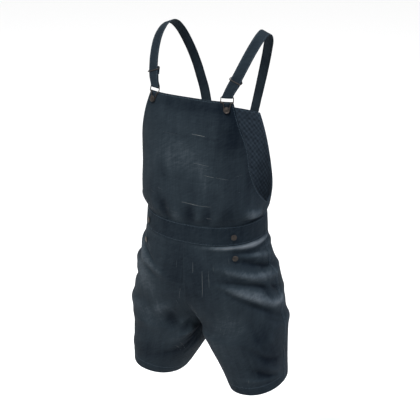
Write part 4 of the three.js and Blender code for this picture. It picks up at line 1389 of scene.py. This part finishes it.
def stitch_tree():
    """A node tree that lays stitches along lines: pitch, length and thickness are inputs."""
    tree = bpy.data.node_groups.new("running_stitch", "GeometryNodeTree")
    tree.interface.new_socket("Lines", in_out="INPUT", socket_type="NodeSocketGeometry")
    sizes = {}
    for name in ("Pitch", "Length", "Thickness"):
        socket = tree.interface.new_socket(name, in_out="INPUT", socket_type="NodeSocketFloat")
        sizes[name] = socket.identifier
    tree.interface.new_socket("Stitches", in_out="OUTPUT", socket_type="NodeSocketGeometry")
    given = put(tree, "NodeGroupInput")
    curves = put(tree, "GeometryNodeMeshToCurve", {"Mesh": given.outputs["Lines"]})
    points = put(tree, "GeometryNodeCurveToPoints",
                 {"Curve": curves.outputs[0], "Length": given.outputs["Pitch"]}, mode="LENGTH")
    bead = put(tree, "GeometryNodeMeshUVSphere", {"Segments": 6, "Rings": 5, "Radius": 0.5})
    scale = put(tree, "ShaderNodeCombineXYZ", {
        "X": given.outputs["Thickness"], "Y": given.outputs["Thickness"], "Z": given.outputs["Length"],
    })
    stitch = put(tree, "GeometryNodeTransform", {"Geometry": bead.outputs[0], "Scale": scale.outputs[0]})
    laid = put(tree, "GeometryNodeInstanceOnPoints", {
        "Points": points.outputs["Points"],
        "Instance": stitch.outputs[0],
        "Rotation": points.outputs["Rotation"],
    })
    real = put(tree, "GeometryNodeRealizeInstances", {"Geometry": laid.outputs[0]})
    rounded = put(tree, "GeometryNodeSetShadeSmooth", {"Geometry": real.outputs[0]})
    coloured = put(tree, "GeometryNodeSetMaterial", {"Geometry": rounded.outputs[0], "Material": thread})
    put(tree, "NodeGroupOutput", {"Stitches": coloured.outputs[0]})
    return tree, sizes


running_stitch, stitch_sizes = stitch_tree()


def stitching(name, lines):
    """A piece of thread stitches along lines of points in millimetres."""
    points = []
    edges = []
    for line in lines:
        first = len(points)
        points += (np.asarray(line) * MM).tolist()
        edges += [(first + k, first + k + 1) for k in range(len(line) - 1)]
    mesh = bpy.data.meshes.new(f"{name}_lines")
    mesh.from_pydata(points, edges, [])
    guide = add_object(f"{name}_lines", mesh)
    modifier = guide.modifiers.new("stitches", "NODES")
    modifier.node_group = running_stitch
    for key, value in (("Pitch", STITCH_PITCH), ("Length", STITCH_LENGTH), ("Thickness", STITCH_THREAD)):
        modifier[stitch_sizes[key]] = value * MM
    sewn = bpy.data.meshes.new_from_object(guide.evaluated_get(bpy.context.evaluated_depsgraph_get()))
    bpy.data.objects.remove(guide)
    sewn.materials.clear()
    return place_piece(name, sewn, thread)


def even(line):
    """A line of points with even steps along it."""
    line = np.asarray(line, float)
    lengths = np.concatenate([[0], np.cumsum(np.linalg.norm(np.diff(line, axis=0), axis=1))])
    count = max(3, int(lengths[-1] / STITCH_TRACK) + 1)
    marks = np.linspace(0, lengths[-1], count)
    return np.stack([np.interp(marks, lengths, line[:, k]) for k in range(3)], -1)


def hem_stitches(name, panel):
    """Stitches along the free edges of the bib or the back panel, on both faces."""
    lines = []
    for face in ("outer", "inner"):
        lines += [panel.beside(edge, EDGE_STITCH, face) for edge in ("left", "right", "top")]
    return stitching(name, lines)


def band_stitches(name, panel):
    return stitching(name, [panel.beside(edge, BAND_STITCH) for edge in ("top", "bottom")])


def leg_stitches(side_name, front, back):
    """Stitches of one leg: its hem, its side seam and the lower part of its inner seam.

    Both seams lie on the left edge of a left leg's grids and on the right edge of a right leg's.
    """
    lines = [panel.beside("bottom", LEG_HEM - 2) for panel in (front, back)]
    lines += [back.beside(side_name, inset) for inset in (FELL_STITCH, FELL - 1)]
    lines.append(front.beside(side_name, FELL_STITCH, part=INNER_SEAM_STITCHES))
    return stitching(f"{side_name}_leg_stitches", lines)


def strap_stitches(side_name, side):
    """Stitches along both edges of a strap, and a crossed box where it is sewn down."""
    lines = []
    stop = strap_line.length
    reach = STRAP_WIDTH / 2 - STRAP_EDGE_STITCH
    up = np.linspace(stop - 2, 2, 360)
    point, width = beside_strap(up, np.full(len(up), STRAP_CLOTH / 2 - 0.1))
    lines += [point - width * reach, point + width * reach]
    low, high = 4, 26
    box = np.array([(-reach, low), (reach, low), (reach, high), (-reach, high), (-reach, low), (reach, high)])
    cross = np.array([(reach, low), (-reach, high)])
    for path in (box, cross):
        share = np.linspace(0, len(path) - 1, 40 * (len(path) - 1) + 1)
        across = np.interp(share, np.arange(len(path)), path[:, 0])
        up = stop - np.interp(share, np.arange(len(path)), path[:, 1])
        point, width = beside_strap(up, np.full(len(up), STRAP_CLOTH / 2 + 0.05))
        lines.append(point + width * across[:, None])
    return stitching(f"{side_name}_strap_stitches", [mirrored(even(line), side) for line in lines])


YARN_WIDTH = 0.45
YARN_SINK = 0.12
YARN_SIDES = 6
YARN_STATIONS = 24


def pulled_yarns(name, rows, surface):
    """Worn yarns that lie on the cloth: flat threads with tapered ends, half sunk in it."""
    points = []
    quads = []
    ends = []
    shine = []
    share = np.linspace(0, 1, YARN_STATIONS)
    taper = np.sqrt(np.sin(np.pi * np.clip(share, 0.02, 0.98)))
    for row in rows_of(rows):
        across = row["start"] + (row["end"] - row["start"]) * share
        down = row["start_z"] + (row["end_z"] - row["start_z"]) * share
        line = surface(across, down)
        out = unit(surface(across, down, 1.0) - line)
        beside = np.cross(unit(np.gradient(line, axis=0)), out)
        radius = YARN_WIDTH * (0.4 + 0.6 * row["weight"]) * taper
        ring = circles(beside, 0.6 * out, YARN_SIDES)
        skin = line[:, None, :] - out[:, None, :] * YARN_SINK + ring * radius[:, None, None]
        first = len(points)
        last = first + (YARN_STATIONS - 1) * YARN_SIDES
        points += skin.reshape(-1, 3).tolist()
        shine += [row["weight"]] * YARN_STATIONS * YARN_SIDES
        quads.append(first + ring_faces(YARN_STATIONS, YARN_SIDES))
        ends += [range(first, first + YARN_SIDES), range(last, last + YARN_SIDES)[::-1]]
    mesh = make_mesh(name, points, np.concatenate(quads), ends, marks={"shine": shine})
    return place_piece(name, mesh, pulled)


# Build

panels = {
    "bib_front": trunk_panel(
        "bib_front", middle=0.0, top=BIB_TOP, edges=BIB_EDGE, counts=BIB_GRID, tone_spots=BIB_FADING_AND_PAINTED_SHADING,
        seeds=(0.4, 1.3, 0.7, 1.9), material=denim_cloth, patch=True,
    ),
    "back_panel": trunk_panel(
        "back_panel", middle=np.pi, top=BACK_TOP, edges=BACK_EDGE, counts=BACK_GRID, tone_spots=BACK_FADING,
        seeds=(0.9, 0.2, 0.3, 1.1), material=denim_back,
    ),
    "waistband_front": waistband("waistband_front", middle=0.0, seed=0.6),
    "waistband_back": waistband("waistband_back", middle=np.pi, seed=1.2),
}
for (side_name, side), seed in zip(SIDES, (0.3, 0.8)):
    panels[f"{side_name}_leg_front"] = leg_panel(f"{side_name}_leg_front", side, 0, seed)
    panels[f"{side_name}_leg_back"] = leg_panel(f"{side_name}_leg_back", side, 1, seed + 0.5)
    strap(side_name, side, seed)
clips()
sliders()
buttons()

sewing = {
    "bib_front": [
        hem_stitches("bib_stitches", panels["bib_front"]),
        pulled_yarns("bib_yarns", BIB_YARNS, lambda a, z, out=0.0: trunk_surface(np.radians(a), z, out)),
    ],
    "back_panel": [hem_stitches("back_stitches", panels["back_panel"])],
}
for name in ("waistband_front", "waistband_back"):
    sewing[name] = [band_stitches(f"{name}_stitches", panels[name])]
for (side_name, side), yarn_rows in zip(SIDES, (LEFT_YARNS, RIGHT_YARNS)):
    leg_front = f"{side_name}_leg_front"
    sewing[leg_front] = [
        leg_stitches(side_name, panels[leg_front], panels[f"{side_name}_leg_back"]),
        pulled_yarns(f"{side_name}_leg_yarns", yarn_rows, partial(leg_surface, side)),
    ]
for side_name, side in SIDES:
    sewing[f"{side_name}_strap"] = [strap_stitches(side_name, side)]


# Studio

FLOOR_Z = -1.45
CAMERA_AZIMUTH = math.radians(27)
CAMERA_ELEVATION = math.radians(23.28)
CAMERA_DISTANCE = 2.72
CAMERA_TARGET = Vector((-0.00016, -0.043, -0.450))
CAMERA_LENS = 95.16
SENSOR = 36.0
FLOOR_HALF = 14.0
FLOOR_GREY = (0.84, 0.84, 0.84, 1)
LOW_SKY = 0.7
HIGH_SKY = 0.6


def floor():
    mesh = bpy.data.meshes.new("studio_floor")
    corners = [(x * FLOOR_HALF, y * FLOOR_HALF, FLOOR_Z) for x, y in ((-1, -1), (1, -1), (1, 1), (-1, 1))]
    mesh.from_pydata(corners, [], [(0, 1, 2, 3)])
    piece = add_object("studio_floor", mesh)
    material, tree, shader = blank_material("pale_floor")
    feed(tree, shader, {"Base Color": FLOOR_GREY, "Roughness": 0.9, "Specular IOR Level": 0.1})
    mesh.materials.append(material)


def camera():
    data = bpy.data.cameras.new("camera")
    data.lens = CAMERA_LENS
    data.sensor_width = SENSOR
    data.clip_start = 0.1
    data.clip_end = 60
    view = add_object("camera", data)
    level = math.cos(CAMERA_ELEVATION)
    back = Vector((
        math.sin(CAMERA_AZIMUTH) * level, -math.cos(CAMERA_AZIMUTH) * level, math.sin(CAMERA_ELEVATION),
    ))
    view.location = CAMERA_TARGET + back * CAMERA_DISTANCE
    view.rotation_euler = (-back).to_track_quat("-Z", "Y").to_euler()
    bpy.context.scene.camera = view


def area_light(name, place, size, power, colour):
    data = bpy.data.lights.new(name, "AREA")
    data.shape = "DISK"
    data.size = size
    data.energy = power
    data.color = colour
    light = add_object(name, data)
    light.location = place
    light.rotation_euler = (CAMERA_TARGET - Vector(place)).to_track_quat("-Z", "Y").to_euler()


def studio():
    """Soft light from all round, stronger overhead, a key light in front and a cool one behind."""
    world = bpy.data.worlds.new("studio")
    world.use_nodes = True
    tree = world.node_tree
    direction = put(tree, "ShaderNodeTexCoord").outputs["Generated"]
    rise = put(tree, "ShaderNodeSeparateXYZ", {0: direction}).outputs["Z"]
    rise = calculate(tree, "POWER", calculate(tree, "MAXIMUM", rise, 0.0), 1.5)
    strength = calculate(tree, "MULTIPLY_ADD", rise, HIGH_SKY, LOW_SKY)
    feed(tree, tree.nodes["Background"], {"Color": (1, 1, 1, 1), "Strength": strength})
    bpy.context.scene.world = world
    area_light("key", place=(-0.3, -2.1, 3.0), size=1.2, power=260, colour=(1, 0.99, 0.97))
    area_light("rim", place=(2.4, 0.9, 0.9), size=1.2, power=40, colour=(0.6, 0.76, 1))
    bpy.context.scene.view_settings.view_transform = "Standard"


floor()
camera()
studio()
